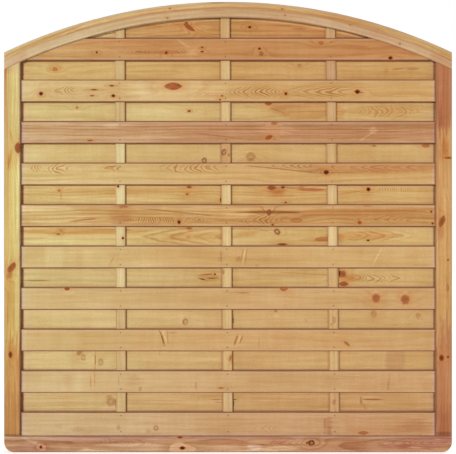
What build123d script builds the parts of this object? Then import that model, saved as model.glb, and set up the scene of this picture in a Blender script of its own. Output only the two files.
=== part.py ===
"""Arched fence panel of planed pine.

Ten front boards and ten back boards lie on the two sides of three upright battens, so that each
recess between two front boards is closed by a back board. Boards and battens stand in a groove
that runs round the inside of the frame. The frame is two stiles on a full-width bottom rail,
closed at the top by an arch that is glued up from two bent laminations.

The panel stands upright: X is its width, -Y its front, +Z up. The origin is the middle of its foot.
"""
import os
from math import floor, sqrt

from build123d import *

# Frame
PANEL_WIDTH = 1800.0
PANEL_HEIGHT = 1810.0  # foot to the crown of the arch
ARCH_RISE = 203.0  # crown above the arch's two ends
FRAME_DEPTH = 45.0
STILE_WIDTH = 64.0
RAIL_HEIGHT = 66.0
UPPER_LAMINATION = 28.0
LOWER_LAMINATION = 34.0
GLUE_LINE = 0.2
RAIL_CORNER_RADIUS = 40.0
FRAME_CHAMFER = 2.5

# Boards and battens
BOARD_THICKNESS = 8.0
BOARD_WIDTH = 90.0
BOARD_CHAMFER = 1.5  # on the edges that face outwards
BOARD_PITCH = 167.3  # from one front board to the next
TOP_RECESS = 82.0  # from the arch's crown down to the first front board
LEAST_STRIP = 30.0  # a narrower strip above the bottom rail is left to the row above it
BATTEN_THICKNESS = 11.0
BATTEN_WIDTH = 38.0
BATTEN_PITCH = 431.0
BATTEN_LEANS = {"left": 6.0, "middle": 12.0, "right": 18.0}  # head to the left of the foot

# Groove that holds the boards, and what fills it at the corners
GROOVE_DEPTH = 12.0
GROOVE_PLAY = 0.2  # each side of the boards, and of the stub tenons
END_GAP = 2.0  # room for the boards to swell at their ends
TENON_GAP = 1.0  # under a stub tenon, so that its shoulder seats first

# Loose tenons in the corners
LOOSE_TENON_WIDTH = 30.0
LOOSE_TENON_THICKNESS = 10.0
LOOSE_TENON_IN_STILE = 30.0  # from the stile's shoulder
LOOSE_TENON_IN_RAIL = 25.0  # past the stub tenon
LOOSE_TENON_IN_ARCH = 14.0  # past the stub tenon
LOOSE_TENON_PLAY = 0.1

# T-headed brads, flush with the boards
BRAD_LENGTH = 18.0
BRAD_WIRE = 1.6
BRAD_HEAD_WIDTH = 5.0
BRAD_HEAD_DEPTH = 1.2
BRAD_EDGE = 15.0  # from a board's edge

# Worked out from the sizes above
half_width = PANEL_WIDTH / 2
half_depth = FRAME_DEPTH / 2
outer_radius = (half_width**2 + ARCH_RISE**2) / (2 * ARCH_RISE)
arch_centre = PANEL_HEIGHT - outer_radius
glue_radius = outer_radius - UPPER_LAMINATION
inner_radius = glue_radius - LOWER_LAMINATION
stile_inside = half_width - STILE_WIDTH
groove_bottom = stile_inside + GROOVE_DEPTH
groove_floor = RAIL_HEIGHT - GROOVE_DEPTH
infill_depth = BATTEN_THICKNESS + 2 * BOARD_THICKNESS
groove_width = infill_depth + 2 * GROOVE_PLAY
infill_half_width = groove_bottom - END_GAP
infill_radius = inner_radius + GROOVE_DEPTH - END_GAP
infill_top = arch_centre + infill_radius
tenon_length = GROOVE_DEPTH - TENON_GAP
first_front_top = arch_centre + inner_radius - TOP_RECESS
recess_height = BOARD_PITCH - BOARD_WIDTH
board_lap = (BOARD_WIDTH - recess_height) / 2

os.makedirs("parts", exist_ok=True)


def write(piece, name):
    """Label a finished piece and write it to its own file."""
    piece.label = name
    export_step(piece, f"parts/{name}.step")


def height_under(radius, x):
    """Height at x of a circle about the arch's centre."""
    return arch_centre + sqrt(radius**2 - x**2)


def keep_under(radius):
    """Cut the active sketch off along a circle about the arch's centre."""
    with Locations((0, arch_centre)):
        Circle(radius, mode=Mode.INTERSECT)


def upright(inside, outside, bottom):
    """Rectangle in the active sketch from one x to another, from a height up to the crown."""
    with Locations(((inside + outside) / 2, bottom)):
        Rectangle(abs(outside - inside), PANEL_HEIGHT - bottom, align=(Align.CENTER, Align.MIN))


def arch_band(outer, inner):
    """Band in the active sketch between two radii of the arch, cut off at the panel's sides."""
    upright(-half_width, half_width, arch_centre)
    keep_under(outer)
    with Locations((0, arch_centre)):
        Circle(inner, mode=Mode.SUBTRACT)


def face_edges(builder):
    """Outlines of the front and the back face of the part being built."""
    flats = builder.faces().filter_by(Axis.Y).sort_by(Axis.Y)
    return flats[0].edges() + flats[-1].edges()


def off_glue_line(edge):
    """Whether an edge of a lamination lies away from the glue line."""
    return edge.geom_type != GeomType.CIRCLE or abs(edge.radius - glue_radius) > GLUE_LINE


def keep_infill():
    """Cut the active sketch down to the outline that the frame's groove gives the boards."""
    with Locations((0, groove_floor)):
        Rectangle(
            2 * infill_half_width,
            infill_top - groove_floor,
            align=(Align.CENTER, Align.MIN),
            mode=Mode.INTERSECT,
        )
    keep_under(infill_radius)


def loose_tenon_faces(play):
    """Fronts of the four corners' loose tenons in the active sketch, larger by a play all round."""
    reach = LOOSE_TENON_WIDTH / 2 + play
    rail_end = RAIL_HEIGHT - tenon_length - LOOSE_TENON_IN_RAIL - play
    stile_end = RAIL_HEIGHT + LOOSE_TENON_IN_STILE + play
    for side in (-1, 1):
        middle = side * (groove_bottom + half_width) / 2
        with Locations((middle, rail_end)):
            Rectangle(2 * reach, stile_end - rail_end, align=(Align.CENTER, Align.MIN))
        head_start = height_under(inner_radius, middle) - LOOSE_TENON_IN_STILE - play
        upright(middle - reach, middle + reach, head_start)
    keep_under(inner_radius + tenon_length + LOOSE_TENON_IN_ARCH + play)


# Loose tenons: one in each corner, through the stub tenon
with BuildPart() as loose_tenons:
    with BuildSketch(Plane.XZ):
        loose_tenon_faces(play=0)
    extrude(amount=LOOSE_TENON_THICKNESS / 2, both=True)
write(loose_tenons.part, "loose_tenons")

with BuildPart() as mortises:
    with BuildSketch(Plane.XZ):
        loose_tenon_faces(LOOSE_TENON_PLAY)
    extrude(amount=LOOSE_TENON_THICKNESS / 2 + LOOSE_TENON_PLAY, both=True)

# Arch: two laminations with a glue line between them, grooved along the underside
with BuildPart() as upper_lamination:
    with BuildSketch(Plane.XZ):
        arch_band(outer_radius, glue_radius + GLUE_LINE / 2)
    extrude(amount=half_depth, both=True)
    chamfer(face_edges(upper_lamination).filter_by(off_glue_line), FRAME_CHAMFER)
write(upper_lamination.part, "arch_upper_lamination")

with BuildPart() as lower_lamination:
    with BuildSketch(Plane.XZ):
        arch_band(glue_radius - GLUE_LINE / 2, inner_radius)
    extrude(amount=half_depth, both=True)
    chamfer(face_edges(lower_lamination).filter_by(off_glue_line), FRAME_CHAMFER)
    with BuildSketch(Plane.XZ):
        arch_band(inner_radius + GROOVE_DEPTH, inner_radius - GROOVE_DEPTH)
    extrude(amount=groove_width / 2, both=True, mode=Mode.SUBTRACT)
    add(mortises.part, mode=Mode.SUBTRACT)
write(lower_lamination.part, "arch_lower_lamination")

# Bottom rail: rounded at its lower corners, grooved along the top
with BuildPart() as bottom_rail:
    with BuildSketch(Plane.XZ) as rail_face:
        Rectangle(PANEL_WIDTH, RAIL_HEIGHT, align=(Align.CENTER, Align.MIN))
        fillet(rail_face.vertices().group_by(Axis.Y)[0], RAIL_CORNER_RADIUS)
    extrude(amount=half_depth, both=True)
    chamfer(face_edges(bottom_rail), FRAME_CHAMFER)
    with BuildSketch(Plane.XZ):
        with Locations((0, groove_floor)):
            Rectangle(PANEL_WIDTH, GROOVE_DEPTH, align=(Align.CENTER, Align.MIN))
    extrude(amount=groove_width / 2, both=True, mode=Mode.SUBTRACT)
    add(mortises.part, mode=Mode.SUBTRACT)
write(bottom_rail.part, "bottom_rail")

# Stiles: cut to the arch at the top, with a stub tenon at each end and a groove on the inside
for side, side_name in ((-1, "left"), (1, "right")):
    with BuildPart() as stile:
        with BuildSketch(Plane.XZ):
            upright(side * stile_inside, side * half_width, RAIL_HEIGHT)
            keep_under(inner_radius)
        extrude(amount=half_depth, both=True)
        chamfer(face_edges(stile), FRAME_CHAMFER)
        with BuildSketch(Plane.XZ):
            upright(side * groove_bottom, side * half_width, RAIL_HEIGHT - tenon_length)
            keep_under(inner_radius + tenon_length)
        extrude(amount=infill_depth / 2, both=True)
        with BuildSketch(Plane.XZ):
            upright(side * stile_inside, side * groove_bottom, RAIL_HEIGHT)
        extrude(amount=groove_width / 2, both=True, mode=Mode.SUBTRACT)
        add(mortises.part, mode=Mode.SUBTRACT)
    write(stile.part, f"{side_name}_stile")

# Where the boards lie, from the arch down: each row is its lower and its upper edge
front_count = floor((first_front_top - RAIL_HEIGHT - LEAST_STRIP) / BOARD_PITCH) + 1
back_count = floor((first_front_top + recess_height - RAIL_HEIGHT - LEAST_STRIP) / BOARD_PITCH) + 1
front_tops = [first_front_top - row * BOARD_PITCH for row in range(front_count)]
back_lows = [first_front_top - row * BOARD_PITCH - board_lap for row in range(back_count)]
front_rows = [(top - BOARD_WIDTH, top) for top in front_tops]
back_rows = [(low, low + BOARD_WIDTH) for low in back_lows]

# The highest board and the lowest one are wide enough to stand in the groove
back_rows[0] = (back_lows[0], infill_top)
lowest_rows = front_rows if front_rows[-1] < back_rows[-1] else back_rows
lowest_rows[-1] = (groove_floor, lowest_rows[-1][1])

# Battens: the foot of each stands in the bottom rail's groove
batten_feet = {"left": -BATTEN_PITCH, "middle": 0.0, "right": BATTEN_PITCH}


def batten_line(name, height):
    """Middle of a leaning batten at a height."""
    climb = (height - groove_floor) / (infill_top - groove_floor)
    return batten_feet[name] - BATTEN_LEANS[name] * climb


# One brad, its head flush with the plane Y = 0 and its point towards +Y
with BuildPart() as brad:
    with BuildSketch(Plane.XY):
        Rectangle(BRAD_HEAD_WIDTH, BRAD_HEAD_DEPTH, align=(Align.CENTER, Align.MIN))
        Rectangle(BRAD_WIRE, BRAD_LENGTH, align=(Align.CENTER, Align.MIN))
    extrude(amount=BRAD_WIRE / 2, both=True)

# Both layers of boards: how far their faces lie in front of the middle, and the turn of their brads
layers = {
    "front": (infill_depth / 2, 0, front_rows),
    "back": (-infill_depth / 2, 180, back_rows),
}


def brads(layer, rows, battens, mode):
    """Brads in the active part that hold rows of a layer to battens, two to a crossing."""
    face, turn, _ = layers[layer]
    places = []
    for low, high in rows:
        for name in battens:
            for height in (max(low, RAIL_HEIGHT) + BRAD_EDGE, high - BRAD_EDGE):
                x = batten_line(name, height)
                if height < height_under(inner_radius - BRAD_EDGE, x):
                    places.append(Location((x, -face, height), (0, 0, turn)))
    with Locations(*places):
        add(brad.part, mode=mode)


for layer, (face, _, rows) in layers.items():
    with BuildPart() as layer_brads:
        brads(layer, rows, batten_feet, Mode.ADD)
    write(layer_brads.part, f"{layer}_brads")

    for number, (low, high) in enumerate(rows, start=1):
        with BuildPart() as board:
            with BuildSketch(Plane.XZ.offset(face)):
                with Locations((0, low)):
                    Rectangle(PANEL_WIDTH, high - low, align=(Align.CENTER, Align.MIN))
                keep_infill()
            extrude(amount=-BOARD_THICKNESS if layer == "front" else BOARD_THICKNESS)
            edges_by_depth = board.edges().filter_by(Axis.X).group_by(Axis.Y)
            chamfer(edges_by_depth[0 if layer == "front" else -1], BOARD_CHAMFER)
            brads(layer, [(low, high)], batten_feet, Mode.SUBTRACT)
        write(board.part, f"{layer}_board_{number:02d}")

for name in batten_feet:
    with BuildPart() as batten:
        with BuildSketch(Plane.XZ):
            with BuildLine():
                Polyline(
                    (batten_line(name, groove_floor) - BATTEN_WIDTH / 2, groove_floor),
                    (batten_line(name, groove_floor) + BATTEN_WIDTH / 2, groove_floor),
                    (batten_line(name, infill_top) + BATTEN_WIDTH / 2, infill_top),
                    (batten_line(name, infill_top) - BATTEN_WIDTH / 2, infill_top),
                    close=True,
                )
            make_face()
            keep_infill()
        extrude(amount=BATTEN_THICKNESS / 2, both=True)
        for layer, (_, _, rows) in layers.items():
            brads(layer, rows, [name], Mode.SUBTRACT)
    write(batten.part, f"{name}_batten")
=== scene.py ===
"""Looks of the arched fence panel: planed pine, zinc-coated brads and the stage that it stands on.

Every board, batten and frame piece gets a planed-pine material of its own. The pine is worked out
from the log it was sawn from: growth rings round a pith that wanders along the piece, heartwood
near the pith, knots that push the rings aside, and marks of resin, pale wood and scars.
"""
from math import radians
from typing import NamedTuple

import bpy
from bpy.props import FloatProperty, FloatVectorProperty, PointerProperty
from bpy.types import Operator, Panel, PropertyGroup
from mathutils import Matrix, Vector


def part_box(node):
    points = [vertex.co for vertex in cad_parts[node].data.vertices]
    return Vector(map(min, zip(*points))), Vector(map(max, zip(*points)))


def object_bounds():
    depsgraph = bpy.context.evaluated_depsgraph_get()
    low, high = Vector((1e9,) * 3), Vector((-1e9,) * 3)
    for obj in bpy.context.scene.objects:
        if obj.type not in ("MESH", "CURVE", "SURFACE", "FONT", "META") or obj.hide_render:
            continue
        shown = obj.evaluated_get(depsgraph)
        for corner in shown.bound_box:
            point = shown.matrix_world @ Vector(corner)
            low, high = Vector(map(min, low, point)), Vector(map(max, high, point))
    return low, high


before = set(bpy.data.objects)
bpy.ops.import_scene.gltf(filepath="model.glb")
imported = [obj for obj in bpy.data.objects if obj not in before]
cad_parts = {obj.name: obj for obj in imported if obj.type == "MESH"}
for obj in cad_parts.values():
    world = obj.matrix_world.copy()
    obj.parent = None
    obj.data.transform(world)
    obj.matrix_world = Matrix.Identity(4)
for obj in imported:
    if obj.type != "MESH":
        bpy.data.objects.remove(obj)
CAD_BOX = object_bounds()

bl_info = {
    "name": "Arched fence panel",
    "version": (1, 0, 0),
    "blender": (4, 5, 0),
    "location": "3D View > Sidebar > Fence",
    "description": "Finishes the boards, frame and brads of an arched fence panel, and sets its stage",
    "category": "Object",
}

MM = 0.001
WHITE = (1.0, 1.0, 1.0, 1.0)

# Places on the panel, from its construction
BOARD_FACE = 13.5 * MM  # outer faces of the boards, from the panel's middle plane
BOARD_SIGHT = 836 * MM  # inner edges of the stiles, from the panel's middle line
INFILL_SIGHT = 66 * MM  # top of the bottom rail
LAP_SIGHT = 38.65 * MM  # how far a back board shows beside the front boards, from its middle
ARCH_FOOT = 1607 * MM  # height of the arch's outer ends
UPPER_DEPTH = 28 * MM  # from the arch's outer edge to the glue line
ARCH_DEPTH = 62 * MM  # from the arch's outer edge to its inner one
FRONT_SIDE = (9 * MM, 7 * MM)  # through the back boards, where marks of their front faces end
OUTWARD_SIDE = (11 * MM, 13 * MM)  # through the panel, where the boards' outer faces begin
BATTEN_HALF = 19 * MM  # half its width
BRAD_INSET = 15 * MM  # from a board's edges
FAR = 10.0  # past both ends of any piece
WIDE = 120  # mm, past both edges of any piece
TALL = 300  # mm, far past them

# Noises in the pine, in waves a metre along, across and through the grain
WARP_WAVES = (7, 40, 40)
STREAK_WAVES = (2.2, 75, 75)
FIBRE_WAVES = (14, 700, 700)
CLOUD_WAVES = (3.4, 9, 9)
BLOTCH_WAVES = (11, 7, 7)
PORE_WAVES = (110, 230, 230)
PLANER_WAVES = (48, 4, 4)
KNOT_WAVES = (110, 190, 190)
MARK_WAVES = (14, 140, 140)
FLAME_WAVES = (20, 26, 26)
RUST_WAVES = (120, 240, 240)

# How far the noises move the lines of the grain
RING_WARP = 9 * MM
HEART_FRAY = 60 * MM
FLAME_SWAY = 75 * MM
MOST_SWAY = 3.4  # chevrons

# Wood, its planed surface, its rust, and light painted into it
HEART_BLEND = 9 * MM  # half the change from sapwood to heartwood
PLANED_SHEEN = 0.05
PLANED_BUMP = 0.6
RUST_FRAY = 5 * MM
RUST_REACH = (5 * MM, 1.5 * MM)  # round a brad, from none to full
RUST_STRENGTH = 0.35
PAINTED_LEFT_LIGHT = (1.09, 1.3, 1.39, 1.0)  # painted light: the left side made paler, as a factor
PAINTED_LEFT_LIGHT_FROM = 0.2  # metres right of the middle line
PAINTED_LEFT_LIGHT_TO = -0.9
PAINTED_ARCH_LIGHT = (1.5, 1.72, 2.0, 1.0)  # painted light in the arch's shadow, as a factor
PAINTED_ARCH_LIGHT_BAND = (13 * MM, 2 * MM)  # under the arch's inner edge, from none to full


def srgb(red, green, blue):
    """Linear colour of a swatch that is given by its 8-bit display values."""
    def linear(value):
        share = value / 255
        return share / 12.92 if share <= 0.04045 else ((share + 0.055) / 1.055) ** 2.4
    return (linear(red), linear(green), linear(blue), 1.0)


class Knot(NamedTuple):
    """A knot in the face of a piece, in millimetres along and across its grain."""

    along: float
    across: float
    length: float
    height: float
    dead: float = 0.3  # 0 is a tight red knot, 1 a black dead one
    rings: float = 1.2  # how many growth rings bend round it
    slant: float = 0.0
    face: float = 1.0  # 0 leaves only the bent rings
    rim: float = 0.5  # bark round the knot


class Mark(NamedTuple):
    """A soft patch or streak on the face of a piece, in millimetres along and across its grain."""

    along: float
    across: float
    length: float
    height: float
    colour: str
    strength: float = 0.5
    slant: float = 0.0
    soft: float = 1.0


def band(along, length, colour, strength=0.5, soft=1.0, height=WIDE):
    """A mark right across a piece."""
    return Mark(along, 0, length, height, colour, strength, 0, soft)


class Flame(NamedTuple):
    """Nested chevrons of late wood, in millimetres; they point along the grain if pitch is positive."""

    along: float
    across: float
    length: float
    height: float
    pitch: float
    spread: float = 7.0  # how wide the chevrons open
    strength: float = 0.8


class Timber(NamedTuple):
    """How one piece was sawn from its log, and what shows in its face."""

    seed: float
    pith: tuple = (0.0, 60.0)  # across and behind the middle of the piece, mm
    drift: float = 0.0  # how fast the pith runs off across the piece
    wander: float = 12.0  # mm
    ring: float = 8.0  # growth of one year, mm
    heart: float = 0.0  # radius of the heartwood, mm
    figure: float = 0.6  # contrast of the growth rings
    streaks: float = 0.4  # contrast of the streaks
    tone: tuple = (1.0, 1.0, 1.0)
    knots: tuple = ()
    flames: tuple = ()
    marks: tuple = ()


def swatch(name, description, red, green, blue):
    """A colour to choose, with its default given by its 8-bit display values."""
    return FloatVectorProperty(
        name=name, description=description, subtype="COLOR", size=4, min=0, max=1,
        default=srgb(red, green, blue))


def measure(name, description, default):
    """A length to choose, in metres."""
    return FloatProperty(
        name=name, description=description, subtype="DISTANCE", unit="LENGTH", min=0, default=default)


class FenceColours(PropertyGroup):
    """Colours of the panel's timber and fixings."""

    sapwood: swatch("Sapwood", "Early wood near the bark", 210, 173, 118)
    sap_latewood: swatch("Sapwood rings", "Late wood of the sapwood's rings", 172, 115, 62)
    heartwood: swatch("Heartwood", "Early wood near the pith", 196, 140, 90)
    heart_latewood: swatch("Heartwood rings", "Late wood of the heartwood's rings", 150, 86, 48)
    knot_red: swatch("Tight knot", "Face of a knot that is grown in", 172, 86, 46)
    russet: swatch("Russet", "Red heartwood of the frame", 179, 118, 86)
    knot_dark: swatch("Dead knot", "Bark and resin round a loose knot", 64, 20, 0)
    resin: swatch("Resin", "Warm wood round a knot", 196, 128, 66)
    pale: swatch("Pale wood", "Dry pale patches", 232, 206, 150)
    # The edge colour is mostly painted shade, along the arrises and where boards go behind the stiles; a few
    # marks use it as a darker tone of the wood
    edge: swatch("Shaded edge", "Shading along the edges", 124, 77, 62)
    # The lap colour is painted light: a lighter, redder tint laid into the left stile's shadow on the back
    # boards
    lap_shading: swatch("Lap", "Tinted wood that the stiles shade", 248, 170, 112)
    arris: swatch("Arris", "Bleached wood beside the edges", 210, 176, 140)
    brad: swatch("Brad", "Dulled zinc of the brads", 142, 98, 62)
    beech: swatch("Beech", "Loose tenons", 206, 164, 122)


class FenceGrain(PropertyGroup):
    """Scale and depth of the planed surface."""

    relief: measure("Relief", "Height of the late wood over the early wood", 0.35 * MM)
    roughness: FloatProperty(
        name="Roughness", description="Roughness of the planed face", subtype="FACTOR", min=0, max=1,
        default=0.66)
    # Widths of the painted shade along the edges and where boards leave the frame
    edge_width: measure("Edge shading", "Width of the grime along the edges", 5.0 * MM)
    tip_width: measure("End shading", "Width of the grime where boards leave the frame", 7.0 * MM)


class FenceStage(PropertyGroup):
    """Camera, lights and floor."""

    distance: measure("Camera distance", "From the front of the frame", 4.0)
    view_width: measure("View width", "Width of the picture at the front of the frame", 1.832)
    key_level: FloatProperty(
        name="Key light", description="Level of the far lamp at the upper left", default=1.85)
    key_angle: FloatProperty(
        name="Key softness", description="How wide the far lamp looks", subtype="ANGLE", default=radians(9))
    back_level: FloatProperty(
        name="Back light", description="Level of the far lamp behind the panel", default=1.1)
    back_angle: FloatProperty(
        name="Back softness", description="How wide the lamp behind looks", subtype="ANGLE",
        default=radians(25))
    fill: FloatProperty(
        name="Fill", description="Strength of the light from all round", default=0.48)
    floor_glow: FloatProperty(
        name="Floor glow", description="Lifts the floor to white for the camera only", default=0.5)
    floor: swatch("Floor", "Colour of the floor", 246, 246, 245)


class Level:
    """A value in a node tree. Plain arithmetic with a number there adds Math nodes."""

    def __init__(self, wiring, socket):
        self.wiring = wiring
        self.socket = socket

    def __add__(self, other):
        return self.wiring.math("ADD", self, other)

    def __sub__(self, other):
        return self.wiring.math("SUBTRACT", self, other)

    def __rsub__(self, other):
        return self.wiring.math("SUBTRACT", other, self)

    def __mul__(self, other):
        return self.wiring.math("MULTIPLY", self, other)

    def __truediv__(self, other):
        return self.wiring.math("DIVIDE", self, other)

    def __rtruediv__(self, other):
        return self.wiring.math("DIVIDE", other, self)

    def __pow__(self, other):
        return self.wiring.math("POWER", self, other)

    def __abs__(self):
        return self.wiring.math("ABSOLUTE", self)

    def line(self, slope, start, clamp=False):
        """A straight line: the number times its slope, from a start."""
        return self.wiring.math("MULTIPLY_ADD", self, slope, start, clamp=clamp)


class Wiring:
    """Adds nodes to one node tree and links them by their sockets."""

    def __init__(self, tree):
        self.tree = tree

    def node(self, kind, **settings):
        """A new node with some of its settings."""
        made = self.tree.nodes.new(kind)
        for name, value in settings.items():
            setattr(made, name, value)
        return made

    def feed(self, socket, value):
        """Link a level or an output to a socket, or set a plain value on it."""
        if isinstance(value, Level):
            value = value.socket
        if isinstance(value, bpy.types.NodeSocket):
            self.tree.links.new(value, socket)
        else:
            socket.default_value = value

    def math(self, operation, *values, clamp=False):
        """Level from a Math node."""
        made = self.node("ShaderNodeMath", operation=operation, use_clamp=clamp)
        for socket, value in zip(made.inputs, values):
            self.feed(socket, value)
        return Level(self, made.outputs[0])

    def larger(self, first, second):
        """The larger of two numbers."""
        return self.math("MAXIMUM", first, second)

    def smaller(self, first, second):
        """The smaller of two numbers."""
        return self.math("MINIMUM", first, second)

    def vector(self, operation, *values):
        """Output of a Vector Math node: a level for a length or a product, otherwise a vector."""
        made = self.node("ShaderNodeVectorMath", operation=operation)
        sockets = (made.inputs[0], made.inputs["Scale"]) if operation == "SCALE" else made.inputs
        for socket, value in zip(sockets, values):
            self.feed(socket, value)
        if operation in ("LENGTH", "DOT_PRODUCT"):
            return Level(self, made.outputs["Value"])
        return made.outputs["Vector"]

    def combine(self, x, y, z):
        """A vector from three numbers."""
        made = self.node("ShaderNodeCombineXYZ")
        for socket, value in zip(made.inputs, (x, y, z)):
            self.feed(socket, value)
        return made.outputs[0]

    def separate(self, vector):
        """The three levels of a vector."""
        made = self.node("ShaderNodeSeparateXYZ")
        self.feed(made.inputs[0], vector)
        return [Level(self, output) for output in made.outputs]

    def span(self, first, second):
        """Length of the slope over two sides of a right angle."""
        return self.vector("LENGTH", self.combine(first, second, 0))

    def ease(self, value, start, end):
        """A smooth step from 0 at start to 1 at end."""
        made = self.node("ShaderNodeMapRange", interpolation_type="SMOOTHSTEP")
        for name, part in (("Value", value), ("From Min", start), ("From Max", end)):
            self.feed(made.inputs[name], part)
        return Level(self, made.outputs["Result"])

    def noise(self, point, waves, detail=2.0, roughness=0.5):
        """A noise from 0 to 1 at a point, with so many waves a metre each way."""
        made = self.node("ShaderNodeTexNoise", noise_dimensions="3D")
        self.feed(made.inputs["Vector"], self.vector("MULTIPLY", point, waves))
        self.feed(made.inputs["Scale"], 1.0)
        self.feed(made.inputs["Detail"], detail)
        self.feed(made.inputs["Roughness"], roughness)
        return Level(self, made.outputs["Fac"])

    def noise_along(self, value, waves):
        """A noise from 0 to 1 that changes along one line."""
        made = self.node("ShaderNodeTexNoise", noise_dimensions="1D")
        self.feed(made.inputs["W"], value)
        self.feed(made.inputs["Scale"], waves)
        self.feed(made.inputs["Detail"], 1.0)
        return Level(self, made.outputs["Fac"])

    def swing(self, noise, amount):
        """A level that swings about 1 with a noise."""
        return noise.line(amount, 1 - amount / 2)

    def powers(self, level, green, blue):
        """A colour factor: a level for red, and its powers for green and blue."""
        return self.combine(level, level ** green, level ** blue)

    def mix(self, factor, first, second, blend="MIX"):
        """Two colours mixed by a factor."""
        made = self.node("ShaderNodeMix", data_type="RGBA", blend_type=blend)
        self.feed(made.inputs["Factor"], factor)
        self.feed(made.inputs[6], first)
        self.feed(made.inputs[7], second)
        return made.outputs[2]

    def tinted(self, colour, factor, share=1.0):
        """A colour times a colour factor, for some share of it."""
        return self.mix(share, colour, factor, blend="MULTIPLY")

    def group(self, tree, **values):
        """A node group with its inputs fed by name, where _ stands for a space."""
        made = self.node("ShaderNodeGroup", node_tree=tree)
        for name, value in values.items():
            self.feed(made.inputs[name.replace("_", " ")], value)
        return made


SOCKETS = {"number": "NodeSocketFloat", "vector": "NodeSocketVector", "colour": "NodeSocketColor"}
ELLIPSE = {"Grain": "vector", "Centre": "vector", "Half length": "number", "Half height": "number",
           "Slant": "number", "Ragged": "number"}


def numbers(*names):
    """Number sockets with these names."""
    return {name: "number" for name in names}


def new_group(name, inputs, outputs):
    """An empty node group with named sockets: its wiring, its inputs and its output node."""
    tree = bpy.data.node_groups.new(name, "ShaderNodeTree")
    for way, sockets in (("INPUT", inputs), ("OUTPUT", outputs)):
        for socket, kind in sockets.items():
            tree.interface.new_socket(socket, in_out=way, socket_type=SOCKETS[kind])
    wiring = Wiring(tree)
    given = {output.name: Level(wiring, output) for output in wiring.node("NodeGroupInput").outputs}
    return wiring, given, wiring.node("NodeGroupOutput").inputs


def ellipse(wiring, given):
    """Place of a point in a slanted ellipse: both ways from its centre, and its reach, 1 at the outline."""
    along, across, _ = wiring.separate(wiring.vector("SUBTRACT", given["Grain"], given["Centre"]))
    across = across - along * given["Slant"]
    long_way = along / given["Half length"]
    high_way = across / given["Half height"]
    return along, across, long_way, high_way, wiring.span(long_way, high_way)


def knot_group():
    """A knot: bends the rings round it, and adds its face, its dark parts and the resin beside it."""
    wiring, given, made = new_group(
        "Pine knot",
        {**ELLIPSE, **numbers("Point", "Dead", "Rim", "Face", "Rings", "Bend", "Lift"), "Masks": "vector"},
        {**numbers("Bend", "Lift"), "Masks": "vector"})
    _, _, long_way, high_way, reach = ellipse(wiring, given)

    # The outline goes from an ellipse to a pointed leaf, and a knot with a faint face is only a ring
    leaf = long_way ** 2 + abs(high_way)
    shape = (leaf - reach).line(given["Point"], reach)
    faint = 1 - given["Face"]
    hollow = wiring.ease(given["Face"], 0.42, 0.22)
    filled = 1 - hollow
    rough = (faint * filled).line(2.0, 1.25)
    rough = (given["Ragged"] - 0.5) * rough
    rough = rough * given["Point"].line(-0.55, 1.0)
    outline = shape + rough

    # Face, core, broken bark and the knot's own rings
    face = wiring.ease(outline, faint.line(0.5, 1.12), faint.line(-0.7, 0.82))
    core = wiring.ease(outline, 1.0, 0.45) * given["Ragged"].line(0.8, 0.6, clamp=True)
    inside = wiring.ease(outline, hollow.line(-0.4, 0.6), hollow.line(-0.35, 0.95))
    rim = wiring.ease(outline, 1.25, 1.0) * inside
    broken = hollow.line(-0.12, filled.line(0.02, 0.3))
    rim = rim * wiring.ease(given["Ragged"], broken, broken + 0.3)
    swirl = wiring.ease(wiring.math("FRACT", outline * 1.7), 0.45, 0.85)
    swirl = swirl * face * (faint * 0.45)

    # Red wood, dark wood and resin
    dark = wiring.larger(core * given["Dead"], rim * given["Rim"])
    dark = wiring.larger(dark, swirl * given["Face"])
    warm = face * given["Ragged"].line(0.9, 0.46, clamp=True)
    scorch = rim * hollow * (given["Rim"] * 0.7)
    resin = wiring.math("EXPONENT", reach ** 2 * -0.2)
    look = wiring.vector("SCALE", wiring.combine(warm, 0, resin), given["Face"])
    look = wiring.vector("ADD", look, wiring.combine(scorch, dark, 0))

    # How far the growth rings go round it
    spread = wiring.combine(long_way * 0.28, high_way * 0.5, 0)
    spread = wiring.vector("DOT_PRODUCT", spread, spread)
    push = wiring.math("EXPONENT", spread * -1) * given["Rings"]
    wiring.feed(made["Bend"], push + given["Bend"])
    wiring.feed(made["Lift"], wiring.larger(push * 0.09, given["Lift"]))
    wiring.feed(made["Masks"], wiring.vector("MAXIMUM", look, given["Masks"]))
    return wiring.tree


def flame_group():
    """Nested chevrons of late wood: where they cover the rings, and their strokes."""
    wiring, given, made = new_group(
        "Pine flame",
        {**ELLIPSE, **numbers("Sway", "Pitch", "Spread", "Strength"), "Flames": "vector"},
        {"Flames": "vector"})
    along, across, _, _, reach = ellipse(wiring, given)
    aside = wiring.span(across, given["Half height"] * 0.3)
    steps = along / given["Pitch"]
    steps = steps + aside / given["Spread"]
    sway = FLAME_SWAY / abs(given["Pitch"])
    steps = given["Sway"].line(wiring.smaller(sway, MOST_SWAY), steps)
    steps = given["Ragged"].line(0.5, steps)
    year = wiring.math("FRACT", steps)
    stroke = wiring.ease(year, 0.3, 0.75) * wiring.ease(year, 1.0, 0.8)
    bold = wiring.noise_along(wiring.math("FLOOR", steps) + given["Pitch"], 0.87)
    stroke = stroke * bold.line(2.6, -0.5, clamp=True)
    reach = reach + given["Ragged"].line(0.8, -0.4)
    cover = wiring.ease(reach, 1.15, 0.6)
    stroke = stroke * cover * given["Strength"]
    wiring.feed(made["Flames"], wiring.vector("MAXIMUM", wiring.combine(cover, stroke, 0), given["Flames"]))
    return wiring.tree


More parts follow.
